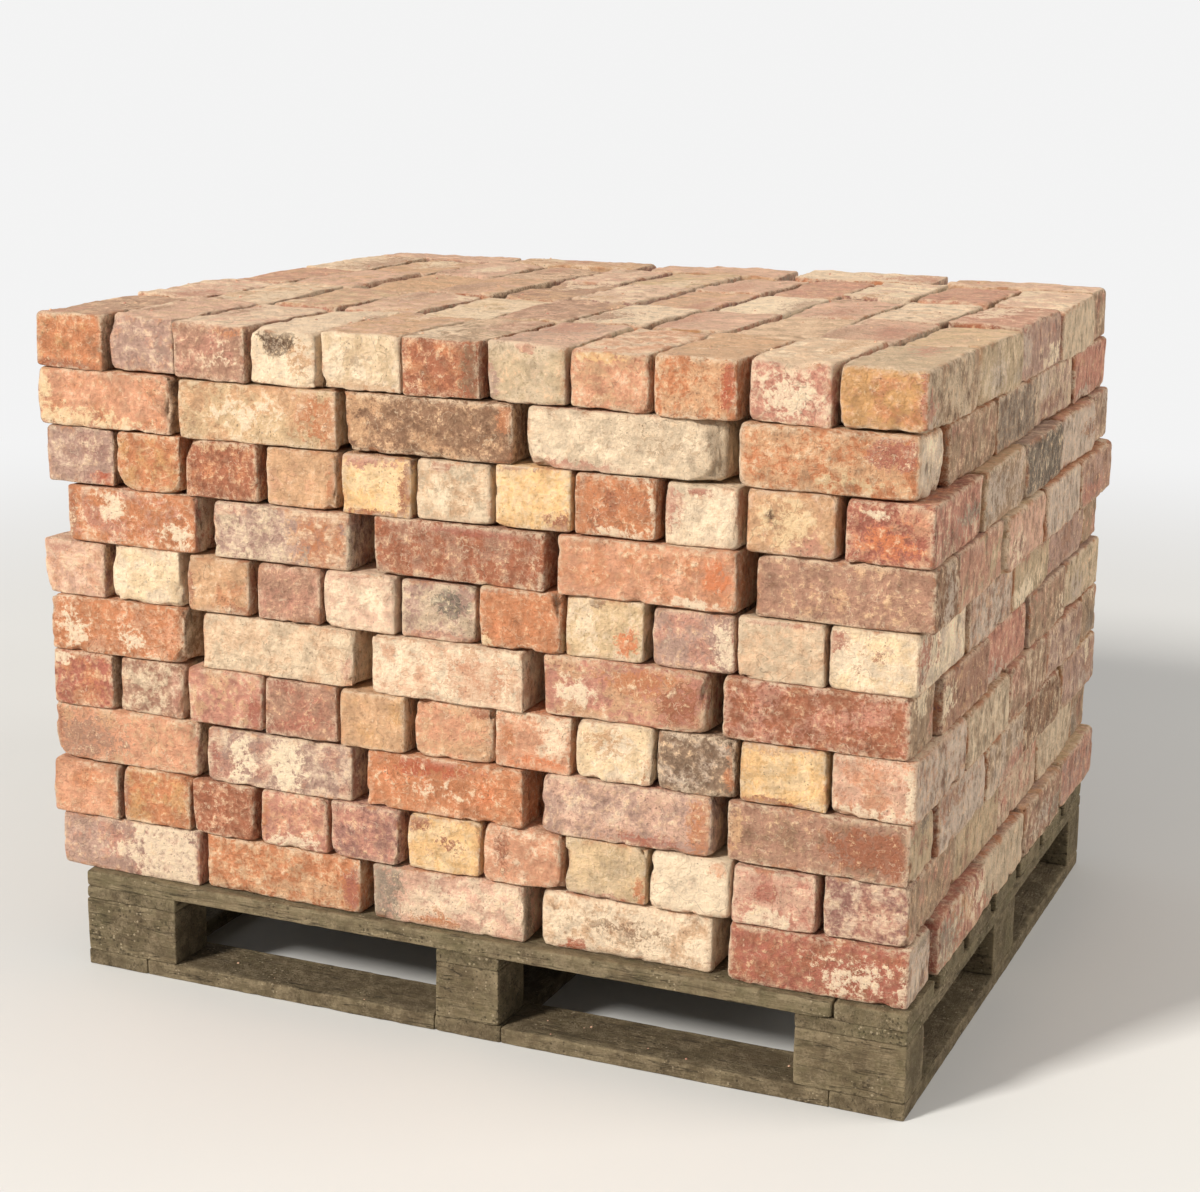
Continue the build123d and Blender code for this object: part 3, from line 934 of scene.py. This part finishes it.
def make_inner_brick_material(name, sizes):
    """Bricks inside the stack: plain fired clay, dusty and dark."""
    material, graph, shader = new_material(name, roughness=0.93, specular=0.25)
    place = own_place(graph)
    colour = graph.mix(patchy(graph, place, share=0.5, scale=11.0, softness=0.2), rgba("rust"), rgba("tan"))
    colour = graph.coated(colour, ("umber", pitted(graph, place, scale=190.0, amount=0.3)["Pits"], 0.5))
    colour = graph.mix(dusted(graph, place, 0.6), colour, rgba(sizes.dust))
    surface(graph, shader, colour, rough(graph, place, 75.0), strength=0.6, distance=0.003)
    return material


# What lies on the pallet's wood
worn_wood = linear(168, 150, 118)
wet_mud = linear(84, 70, 52)
dry_mud = linear(158, 140, 112)
rubbed_wood = linear(178, 160, 126)
pale_speck = linear(188, 170, 140)
dark_pit = linear(56, 46, 34)
dark_split = linear(48, 40, 30)


def make_timber_material(name, sizes):
    """Weathered pallet wood: grain, green film, mud, spatters and rubbed edges."""
    material, graph, shader = new_material(name, roughness=0.9, specular=0.2)
    place = read_mark(graph, "timber_place")["Vector"]
    split = graph.add("ShaderNodeSeparateColor", {0: read_mark(graph, "wear")["Color"]}).outputs
    tone, mud, edge = split[0], split[1], split[2]
    stretched = graph.add("ShaderNodeMapping", {"Vector": place, "Scale": (1.0, 12.0, 12.0)}).outputs[0]
    grain = graph.noise(stretched, 10.0, 8.0, 0.7)
    fibres = graph.noise(stretched, 45.0, 5.0, 0.72)
    dark_wood = [step * 0.5 for step in sizes.wood]
    wood = graph.mix(graph.ramp(grain, 0.32, 0.68), rgba(dark_wood), rgba(sizes.wood))
    wood = graph.mix(graph.ramp(fibres, 0.42, 0.72, 0.0, 0.5), wood, rgba(worn_wood))
    wood = graph.shade(wood, graph.ramp(tone, 0.0, 1.0, 0.8, 1.2))
    caked = patchy(graph, place, share=0.42, scale=48.0, softness=0.09)
    rubbed = graph.times(edge, graph.ramp(graph.noise(place, 34.0, 5.0, 0.72), 0.4, 0.6))
    crowded = graph.ramp(graph.noise(place, 14.0, 3.0, 0.6), 0.4, 0.62, 0.1, 0.6)
    marks = pitted(graph, place, scale=170.0, amount=crowded)
    splits = creased(graph, stretched, scale=7.0, width=0.02)
    wood = graph.coated(
        wood,
        (sizes.moss, patchy(graph, place, share=0.52, scale=8.0, softness=0.16), 0.6),
        (wet_mud, patchy(graph, place, share=mud, scale=15.0, softness=0.13), 0.7),
        (dry_mud, caked, 0.5),
        (rubbed_wood, rubbed, 0.4),
        (pale_speck, marks["Specks"], 0.6),
        (dark_pit, marks["Pits"], 0.6),
        (dark_split, splits, 0.6),
    )
    ridged = graph.math("MULTIPLY_ADD", grain, 0.8, rough(graph, place, 80.0))
    ridged = graph.math("MULTIPLY_ADD", fibres, 0.7, ridged)
    ridged = graph.math("MULTIPLY_ADD", splits, -0.6, ridged)
    ridged = graph.math("MULTIPLY_ADD", caked, 0.2, ridged)
    surface(graph, shader, wood, ridged, strength=0.9, distance=0.005)
    return material


iron = linear(74, 62, 54)
iron_rust = linear(120, 74, 48)


def make_nail_material(name):
    """Rusty iron nail heads."""
    material, graph, shader = new_material(name, roughness=0.7, metallic=0.5)
    place = own_place(graph)
    rusty = patchy(graph, place, share=0.6, scale=300.0, softness=0.2)
    colour = graph.mix(rusty, rgba(iron), rgba(iron_rust))
    surface(graph, shader, colour, rough(graph, place, 400.0), strength=0.5, distance=0.0008)
    return material


def make_crumb_material(name):
    """Crumbs of lime mortar and brick."""
    material, graph, shader = new_material(name, roughness=0.95)
    place = own_place(graph)
    colour = graph.mix(patchy(graph, place, share=0.5, scale=40.0, softness=0.1), rgba("sand"), rgba("rose"))
    surface(graph, shader, colour, rough(graph, place, 300.0), strength=0.6, distance=0.001)
    return material


backdrop_strength = 0.9
fade_reach = (1.6, 4.5)


def seen_directly(graph):
    """1 for what the camera sees itself, in a gloss or through glass, and 0 for light on the object."""
    rays = graph.add("ShaderNodeLightPath").outputs
    mirrored = graph.math("MAXIMUM", rays["Is Glossy Ray"], rays["Is Transmission Ray"])
    return graph.math("MAXIMUM", rays["Is Camera Ray"], mirrored)


def make_floor_material(name, look):
    """Plain pale studio floor that fades to the white of the backdrop."""
    material, graph, shader = new_material(name, roughness=0.8)
    place = own_place(graph)
    clouds = graph.ramp(graph.noise(place, 1.5, 2.0, 0.5), 0.2, 0.8, 0.98, 1.0)
    graph.feed(shader.inputs["Base Color"], graph.shade(rgba(look.floor), clouds))
    away = graph.add("ShaderNodeVectorMath", {0: place}, operation="LENGTH").outputs["Value"]
    faded = graph.times(graph.ramp(away, *fade_reach), seen_directly(graph))
    white = graph.add("ShaderNodeEmission", {"Strength": backdrop_strength}).outputs[0]
    blended = graph.add("ShaderNodeMixShader", {0: faded, 1: shader.outputs[0], 2: white}).outputs[0]
    output = next(node for node in graph.tree.nodes if node.bl_idname == "ShaderNodeOutputMaterial")
    graph.feed(output.inputs["Surface"], blended)
    return material


def course_blocks(course):
    """The bricks of one course with the rows they are in."""
    nodes = [f"course_{course:02d}_stretchers", f"course_{course:02d}_outer_headers"]
    if course == course_count:
        nodes.append(f"course_{course:02d}_inner_headers")
    blocks = [block for node in nodes for block in blocks_of(node)]
    return nodes, sorted(blocks, key=lambda block: block.middle[0])


face_left, face_right, face_front, face_back, _, face_top = range(6)
row_reach = 0.17
side_reach = 0.05
# The top course beside the others: how coarse its grid, how uneven its beds and how dusty it is
top_grid = 1.35
top_bed = 2.2
laid_bed = 0.3
top_dust = 0.9
laid_dust = 0.3
# The least and the most of what is drawn by chance
arris_spread = (0.7, 1.5)
spot_reach = (0.25, 0.7)
spot_rise = (0.3, 0.8)
spot_thinned = (0.25, 0.6)
spot_middle = (-0.1, 1.1)
second_spread = (0.3, 0.6)
least_lime = 0.05
least_grime = 0.1
most_lime = 0.45
most_grime = 0.35
most_side_grime = 0.4


def seen_faces(block, low, high, course):
    """Which of a brick's six faces show."""
    seen = [False] * 6
    seen[face_front] = block.middle[1] < low[1] + row_reach
    seen[face_back] = block.middle[1] > high[1] - row_reach
    seen[face_left] = block.middle[0] - block.half[0] < low[0] + side_reach
    seen[face_right] = block.middle[0] + block.half[0] > high[0] - side_reach
    seen[face_top] = course == course_count
    return seen


def drawn_finish(draw, bodies, seconds, stains, grime=most_grime):
    """A finish drawn for a face that is out of the front row."""
    spots = []
    for colour in stains:
        if draw.random() < stained_share:
            size = [draw.uniform(*spread) for spread in (spot_reach, spot_rise, spot_thinned)]
            spots.append((colour, draw.uniform(*spot_middle), draw.uniform(*spot_middle), *size))
    return Finish(
        draw.choice(bodies), draw.choice(seconds), draw.uniform(*second_spread),
        draw.uniform(least_lime, most_lime), draw.uniform(least_grime, grime), *spots,
    )


def finish_marks(finish, across, up):
    """What one finish gives at each point of a face, from where the point is across and up it, as columns:
    the body's colour, the second's colour and share, a spot's colour and nearness, lime and grime."""
    count = len(across)
    best = np.full(count, -1.0)
    colour = np.tile(finish.body, (count, 1))
    for name, middle, level, reach, rise, *thinned in finish.spots:
        field = 1 - np.hypot((across - middle) / reach, (up - level) / rise) - sum(thinned)
        better = field > best
        best = np.where(better, field, best)
        colour[better] = clay[name]
    clays = np.tile((*finish.body, *finish.second, finish.share), (count, 1))
    covers = np.tile((finish.lime, finish.grime), (count, 1))
    return np.column_stack((clays, colour, np.clip(best, -1, 1), covers))


# How far apart two bricks stand in their material's noise, a seed apart, and where it starts again
brick_step = (0.731, 0.417, 0.293)
brick_range = 37


def brick_marks(points, half, out, edge, finishes, dusty, seed):
    """Everything the brick material reads, blended between the faces by the way each point looks out."""
    across, along, up = ((points / half + 1) / 2).T
    weights = out**2
    weights /= np.maximum(weights.sum(1, keepdims=True), 1e-9)
    views = ((finishes["side"], along, up), (finishes["front"], across, up), (finishes["top"], across, along))
    blended = sum(
        finish_marks(finish, first, second) * weights[:, axis : axis + 1]
        for axis, (finish, first, second) in enumerate(views)
    )
    flat = np.ones((len(points), 1))
    return {
        "brick_place": points + np.array(brick_step) * seed % brick_range,
        "body": np.hstack((blended[:, :3], flat)),
        "second": blended[:, 3:7],
        "spot": blended[:, 7:11],
        "wear": np.column_stack((blended[:, 11:], edge, flat * dusty)),
    }


# How many seeds each course has for its bricks
course_seeds = 100


def lay_course(course, sizes, material):
    """Makes the worn bricks of one course."""
    nodes, blocks = course_blocks(course)
    lows = np.min([block.middle - block.half for block in blocks], axis=0)
    highs = np.max([block.middle + block.half for block in blocks], axis=0)
    on_top = course == course_count
    grid = sizes.grid * (top_grid if on_top else 1)
    bed = top_bed if on_top else laid_bed
    dusty = top_dust if on_top else laid_dust
    batch = Batch()
    front_number = 0
    right_blocks = [block for block in blocks if seen_faces(block, lows, highs, course)[face_right]]
    right_blocks.sort(key=lambda block: block.middle[1])
    for number, block in enumerate(blocks):
        seed = sizes.seed + course * course_seeds + number
        draw = random.Random(f"brick {seed}")
        seen = seen_faces(block, lows, highs, course)
        points, quads, wides = lattice(block.half, seen, grid)
        arris = sizes.arris * draw.uniform(*arris_spread)
        front = drawn_finish(draw, back_bodies, back_seconds, back_stains)
        if seen[face_front]:
            front = Finish(*front_finishes[course][front_number])
            front_number += 1
        moved, out, edge = worn(points, block.half, arris, sizes, seed, bed, front.dents)
        side = drawn_finish(draw, side_bodies, side_seconds, side_stains, most_side_grime)
        if seen[face_right]:
            bodies = right_bodies[course]
            side.body = clay[bodies[right_blocks.index(block) % len(bodies)]]
        if seen[face_front] and not seen[face_right] and not seen[face_left]:
            side = front
        top = drawn_finish(draw, top_bodies, top_seconds, top_stains)
        if on_top and seen[face_front]:
            top.body = clay[front_row_tops[front_number - 1]]
        finishes = {"front": front, "side": side, "top": top if on_top else front}
        marks = brick_marks(points, block.half, out, edge, finishes, dusty, seed)
        batch.add(block.placed(moved), quads, wides, marks)
    piece = batch.build(f"worn_bricks_{course:02d}", material)
    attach(piece, body_name)
    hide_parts(*nodes)


class BRICKPALLET_OT_lay_bricks(bpy.types.Operator):
    """Lay the worn bricks that show, course by course"""

    bl_idname = "brickpallet.lay_bricks"
    bl_label = "Lay worn bricks"

    def execute(self, context):
        sizes = context.scene.brick_sizes
        material = make_brick_material("reclaimed_brick", sizes)
        for course in range(1, course_count + 1):
            lay_course(course, sizes, material)
        return {"FINISHED"}


class BRICKPALLET_OT_fill_stack(bpy.types.Operator):
    """Give the bricks inside the stack their finish"""

    bl_idname = "brickpallet.fill_stack"
    bl_label = "Finish inner bricks"

    def execute(self, context):
        material = make_inner_brick_material("inner_brick", context.scene.brick_sizes)
        for course in range(1, course_count):
            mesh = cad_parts[f"course_{course:02d}_inner_headers"].data
            mesh.materials.clear()
            mesh.materials.append(material)
        return {"FINISHED"}


def new_maker(name, inputs):
    """An empty Geometry Nodes tree that makes a mesh from a mesh, sizes and a material."""
    inputs = [("Geometry", "mesh", None), *inputs, ("Material", "material", None)]
    return new_tree("GeometryNodeTree", name, inputs, [("Geometry", "mesh")])


def finish_tree(graph, given, result, instances):
    """Realizes the instances and gives them the material."""
    realized = graph.add("GeometryNodeRealizeInstances", {"Geometry": instances}).outputs["Geometry"]
    painted = graph.add("GeometryNodeSetMaterial", {"Geometry": realized, "Material": given["Material"]})
    graph.feed(result["Geometry"], painted.outputs["Geometry"])


crumb_knock = 0.0006
stack_crumbs = 130.0
board_crumbs = 160.0


def make_crumb_tree():
    """Crumbs of old mortar strewn on what faces up."""
    graph, given, result = new_maker("Mortar Crumbs", [
        ("Density", "value", 100.0),
        ("Smallest", "value", 0.3),
        ("Largest", "value", 1.0),
        ("Size", "value", 0.004),
        ("Seed", "count", 1),
    ])
    normal = graph.add("GeometryNodeInputNormal").outputs[0]
    upward = graph.add("ShaderNodeSeparateXYZ", {0: normal}).outputs["Z"]
    level = graph.add("FunctionNodeCompare", {0: upward, 1: 0.93}, operation="GREATER_THAN").outputs[0]
    strewn = graph.add("GeometryNodeDistributePointsOnFaces", {
        "Mesh": given["Geometry"], "Selection": level, "Density": given["Density"], "Seed": given["Seed"],
    })
    lump = graph.add("GeometryNodeMeshIcoSphere", {"Radius": given["Size"], "Subdivisions": 1}).outputs[0]
    knock = {0: (-crumb_knock,) * 3, 1: (crumb_knock,) * 3}
    knocked = graph.add("FunctionNodeRandomValue", knock, data_type="FLOAT_VECTOR").outputs[0]
    lumpy = graph.add("GeometryNodeSetPosition", {"Geometry": lump, "Offset": knocked})
    spread = {2: given["Smallest"], 3: given["Largest"], "Seed": given["Seed"]}
    scale = graph.add("FunctionNodeRandomValue", spread, data_type="FLOAT").outputs[1]
    placed = graph.add("GeometryNodeInstanceOnPoints", {
        "Points": strewn.outputs["Points"],
        "Instance": lumpy.outputs["Geometry"],
        "Rotation": strewn.outputs["Rotation"],
        "Scale": scale,
    })
    finish_tree(graph, given, result, placed.outputs["Instances"])
    return graph.tree


def make_nail_tree():
    """A nail head on every point."""
    sizes = [("Head Radius", "value", 0.0045), ("Head Height", "value", 0.0012)]
    graph, given, result = new_maker("Nail Heads", sizes)
    head = graph.add("GeometryNodeMeshCylinder", {
        "Vertices": 12, "Radius": given["Head Radius"], "Depth": given["Head Height"],
    }).outputs["Mesh"]
    placed = graph.add("GeometryNodeInstanceOnPoints", {"Points": given["Geometry"], "Instance": head})
    finish_tree(graph, given, result, placed.outputs["Instances"])
    return graph.tree


def grown(name, mesh, tree, values):
    """A plain piece made by a tree from a mesh."""
    seed_piece = linked(name + "_seed", mesh)
    modifier = seed_piece.modifiers.new("tree", "NODES")
    modifier.node_group = tree
    sockets = {item.name: item.identifier for item in tree.interface.items_tree if item.in_out == "INPUT"}
    for socket, value in values.items():
        modifier[sockets[socket]] = value
    evaluated = seed_piece.evaluated_get(bpy.context.evaluated_depsgraph_get())
    made = bpy.data.meshes.new_from_object(evaluated)
    made.name = name
    seed_piece.modifiers.remove(modifier)
    bpy.data.objects.remove(seed_piece)
    piece = linked(name, made)
    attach(piece, body_name)
    return piece


class BRICKPALLET_OT_strew_crumbs(bpy.types.Operator):
    """Strew crumbs of old mortar on the stack and the base boards"""

    bl_idname = "brickpallet.strew_crumbs"
    bl_label = "Strew mortar crumbs"

    def execute(self, context):
        sizes = context.scene.brick_sizes
        material = make_crumb_material("mortar_crumbs")
        tree = make_crumb_tree()
        places = [("stack", f"worn_bricks_{course_count}", stack_crumbs)]
        places += [(node, f"weathered_{node}", board_crumbs) for node in base_nodes]
        for number, (name, source, density) in enumerate(places):
            values = {
                "Density": density, "Size": sizes.crumb, "Seed": sizes.seed + number, "Material": material,
            }
            piece = grown(f"crumbs_on_{name}", bpy.data.objects[source].data.copy(), tree, values)
        return {"FINISHED"}


# Where the nails stand in a block, as shares of its width and depth
nails_across = (0.25, 0.75)
nails_along = (0.3, 0.7)


class BRICKPALLET_OT_drive_nails(bpy.types.Operator):
    """Set nail heads in the undersides of the base boards, under every block"""

    bl_idname = "brickpallet.drive_nails"
    bl_label = "Drive nails"

    def execute(self, context):
        sizes = context.scene.timber_sizes
        height = sizes.nail_height
        points = []
        for node in block_nodes:
            low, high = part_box(node)
            for across in nails_across:
                for along in nails_along:
                    x = low.x + (high.x - low.x) * across
                    y = low.y + (high.y - low.y) * along
                    points.append((x, y, height))
        mesh = bpy.data.meshes.new("nail_points")
        mesh.from_pydata(points, [], [])
        nail = make_nail_material("rusty_nail")
        values = {"Head Radius": sizes.nail_head, "Head Height": height, "Material": nail}
        piece = grown("nail_heads", mesh, make_nail_tree(), values)
        return {"FINISHED"}


ends = ("front", "centre", "back")
sides = ("left", "middle", "right")
deck_nodes = [f"deck_board_{number}" for number in range(1, 8)] + ["deck_board_1_end_piece"]
stringer_nodes = [f"stringer_board_{side}" for side in sides]
block_nodes = [f"block_{end}_{side}" for end in ends for side in sides]
base_nodes = [f"base_board_{name}" for name in (
    "left", "centre", "right", "front_left", "front_right", "back_left", "back_right",
)]
# The timbers with how much mud lies on them
timber_groups = ((deck_nodes, 0.35), (stringer_nodes, 0.45), (block_nodes, 0.5), (base_nodes, 0.7))
timber_seed = 900
# As brick_step and brick_range, for the timbers
timber_step = 0.613
timber_range = 11


def weather(node, sizes, material, mud, number):
    """Makes the weathered piece that stands for one timber of the pallet."""
    block = blocks_of(node, square=True)[0]
    seen = [True] * 6
    seen[face_top] = node not in deck_nodes
    points, quads, wides = lattice(block.half, seen, sizes.grid)
    seed = timber_seed + number
    moved, _, edge = worn(points, block.half, sizes.arris, sizes, seed)
    long_axis = int(np.argmax(block.half))
    order = [long_axis] + [axis for axis in range(3) if axis != long_axis]
    tone = random.Random(f"timber {seed}").random()
    flat = np.ones(len(points))
    marks = {
        "timber_place": points[:, order] + seed * timber_step % timber_range,
        "wear": np.column_stack((flat * tone, flat * mud, edge, flat)),
    }
    batch = Batch()
    batch.add(block.placed(moved), quads, wides, marks)
    piece = batch.build(f"weathered_{node}", material)
    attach(piece, body_name)
    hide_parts(node)


class BRICKPALLET_OT_build_pallet(bpy.types.Operator):
    """Make the pallet's weathered boards and blocks"""

    bl_idname = "brickpallet.build_pallet"
    bl_label = "Weather the pallet"

    def execute(self, context):
        sizes = context.scene.timber_sizes
        material = make_timber_material("weathered_timber", sizes)
        timbers = [(node, mud) for nodes, mud in timber_groups for node in nodes]
        for number, (node, mud) in enumerate(timbers):
            weather(node, sizes, material, mud, number)
        return {"FINISHED"}


class BRICKPALLET_OT_set_stage(bpy.types.Operator):
    """Set the floor, the light and the camera"""

    bl_idname = "brickpallet.set_stage"
    bl_label = "Set the stage"

    def execute(self, context):
        look = context.scene.studio_look
        set_floor(look)
        set_lights(look)
        set_camera()
        return {"FINISHED"}


floor_reach = 30
key_place = (-6.7, -11.8, 8.9)
key_target = (0.1, 0.0, 0.45)
key_width = 2.6
key_colour = (1.0, 0.97, 0.92)
fill_place = (4.5, 1.0, 2.6)
fill_target = (0.0, 0.0, 0.45)
fill_width = 2.5
fill_colour = (1.0, 0.95, 0.88)


def set_floor(look):
    """A wide plain floor."""
    built = bmesh.new()
    bmesh.ops.create_grid(built, x_segments=1, y_segments=1, size=floor_reach)
    mesh = bpy.data.meshes.new("studio_floor")
    built.to_mesh(mesh)
    built.free()
    mesh.materials.append(make_floor_material("studio_floor", look))
    floor = linked("studio_floor", mesh)


def add_lamp(name, place, target, size, power, colour):
    """A soft square lamp turned to a target."""
    lamp = bpy.data.lights.new(name, "AREA")
    lamp.shape = "SQUARE"
    lamp.size = size
    lamp.energy = power
    lamp.color = colour
    made = linked(name, lamp)
    made.location = place
    made.rotation_euler = (Vector(target) - Vector(place)).to_track_quat("-Z", "Y").to_euler()


def set_lights(look):
    """A soft key at the front left, a weak fill at the right and an even sky."""
    add_lamp("key_lamp", key_place, key_target, key_width, look.key, key_colour)
    add_lamp("fill_lamp", fill_place, fill_target, fill_width, look.fill, fill_colour)
    world = bpy.data.worlds.new("studio_sky")
    world.use_nodes = True
    graph = Graph(world.node_tree)
    graph.tree.nodes.clear()
    strength = graph.math("MULTIPLY_ADD", seen_directly(graph), backdrop_strength - look.sky, look.sky)
    background = graph.add("ShaderNodeBackground", {"Color": (1.0, 1.0, 1.0, 1.0), "Strength": strength})
    output = graph.add("ShaderNodeOutputWorld")
    graph.feed(output.inputs["Surface"], background.outputs[0])
    bpy.context.scene.world = world


# The camera as the corners of the stack and the pallet place it, in metres and degrees.
# The focal length and the picture's own centre are in pixels of the 1200 x 1192 picture.
focal_pixels = 2292
picture_centre = (630, 560)
camera_place = (1.278, -3.026, 1.295)
camera_yaw = 22.62
camera_pitch = 12.84
camera_roll = 0.75
sensor_width = 36


def set_camera():
    """The camera at the picture's viewing angle."""
    lens = bpy.data.cameras.new("camera")
    lens.sensor_width = sensor_width
    lens.lens = focal_pixels / image_width * sensor_width
    lens.shift_x = (image_width / 2 - picture_centre[0]) / image_width
    lens.shift_y = (picture_centre[1] - image_height / 2) / image_width
    camera = linked("camera", lens)
    camera.matrix_world = Matrix.Translation(camera_place)
    for angle, axis in ((camera_yaw, "Z"), (90 - camera_pitch, "X"), (camera_roll, "Z")):
        camera.matrix_world @= Matrix.Rotation(math.radians(angle), 4, axis)
    bpy.context.scene.camera = camera
    bpy.context.scene.view_settings.view_transform = "Standard"


class BRICKPALLET_PT_panel(bpy.types.Panel):
    """Lists the steps and the sizes"""

    bl_idname = "BRICKPALLET_PT_panel"
    bl_label = "Brick Pallet"
    bl_space_type = "VIEW_3D"
    bl_region_type = "UI"
    bl_category = "Brick Pallet"

    def draw(self, context):
        column = self.layout.column(align=True)
        for step in steps:
            column.operator(step.bl_idname)
        for settings in (context.scene.brick_sizes, context.scene.timber_sizes, context.scene.studio_look):
            box = self.layout.box()
            for name in settings.__annotations__:
                box.prop(settings, name)


settings_groups = {"brick_sizes": BrickSizes, "timber_sizes": TimberSizes, "studio_look": StudioLook}
steps = (
    BRICKPALLET_OT_set_stage,
    BRICKPALLET_OT_lay_bricks,
    BRICKPALLET_OT_fill_stack,
    BRICKPALLET_OT_build_pallet,
    BRICKPALLET_OT_strew_crumbs,
    BRICKPALLET_OT_drive_nails,
)
effects = (
    make_ragged_cover,
    make_patchy_mask,
    make_pits_and_specks,
    make_creases,
    make_settled_dust,
    make_surface_relief,
)


def register():
    """Registers the settings, the steps and the panel."""
    for name, group in settings_groups.items():
        bpy.utils.register_class(group)
        setattr(bpy.types.Scene, name, bpy.props.PointerProperty(type=group))
    for step in steps:
        bpy.utils.register_class(step)
    bpy.utils.register_class(BRICKPALLET_PT_panel)


def unregister():
    """Takes them away again."""
    bpy.utils.unregister_class(BRICKPALLET_PT_panel)
    for step in reversed(steps):
        bpy.utils.unregister_class(step)
    for name, group in reversed(settings_groups.items()):
        delattr(bpy.types.Scene, name)
        bpy.utils.unregister_class(group)


def main():
    """Runs every step in order."""
    register()
    for effect in effects:
        effect()
    for step in steps:
        group, name = step.bl_idname.split(".")
        getattr(getattr(bpy.ops, group), name)()


if __name__ == "__main__":
    main()
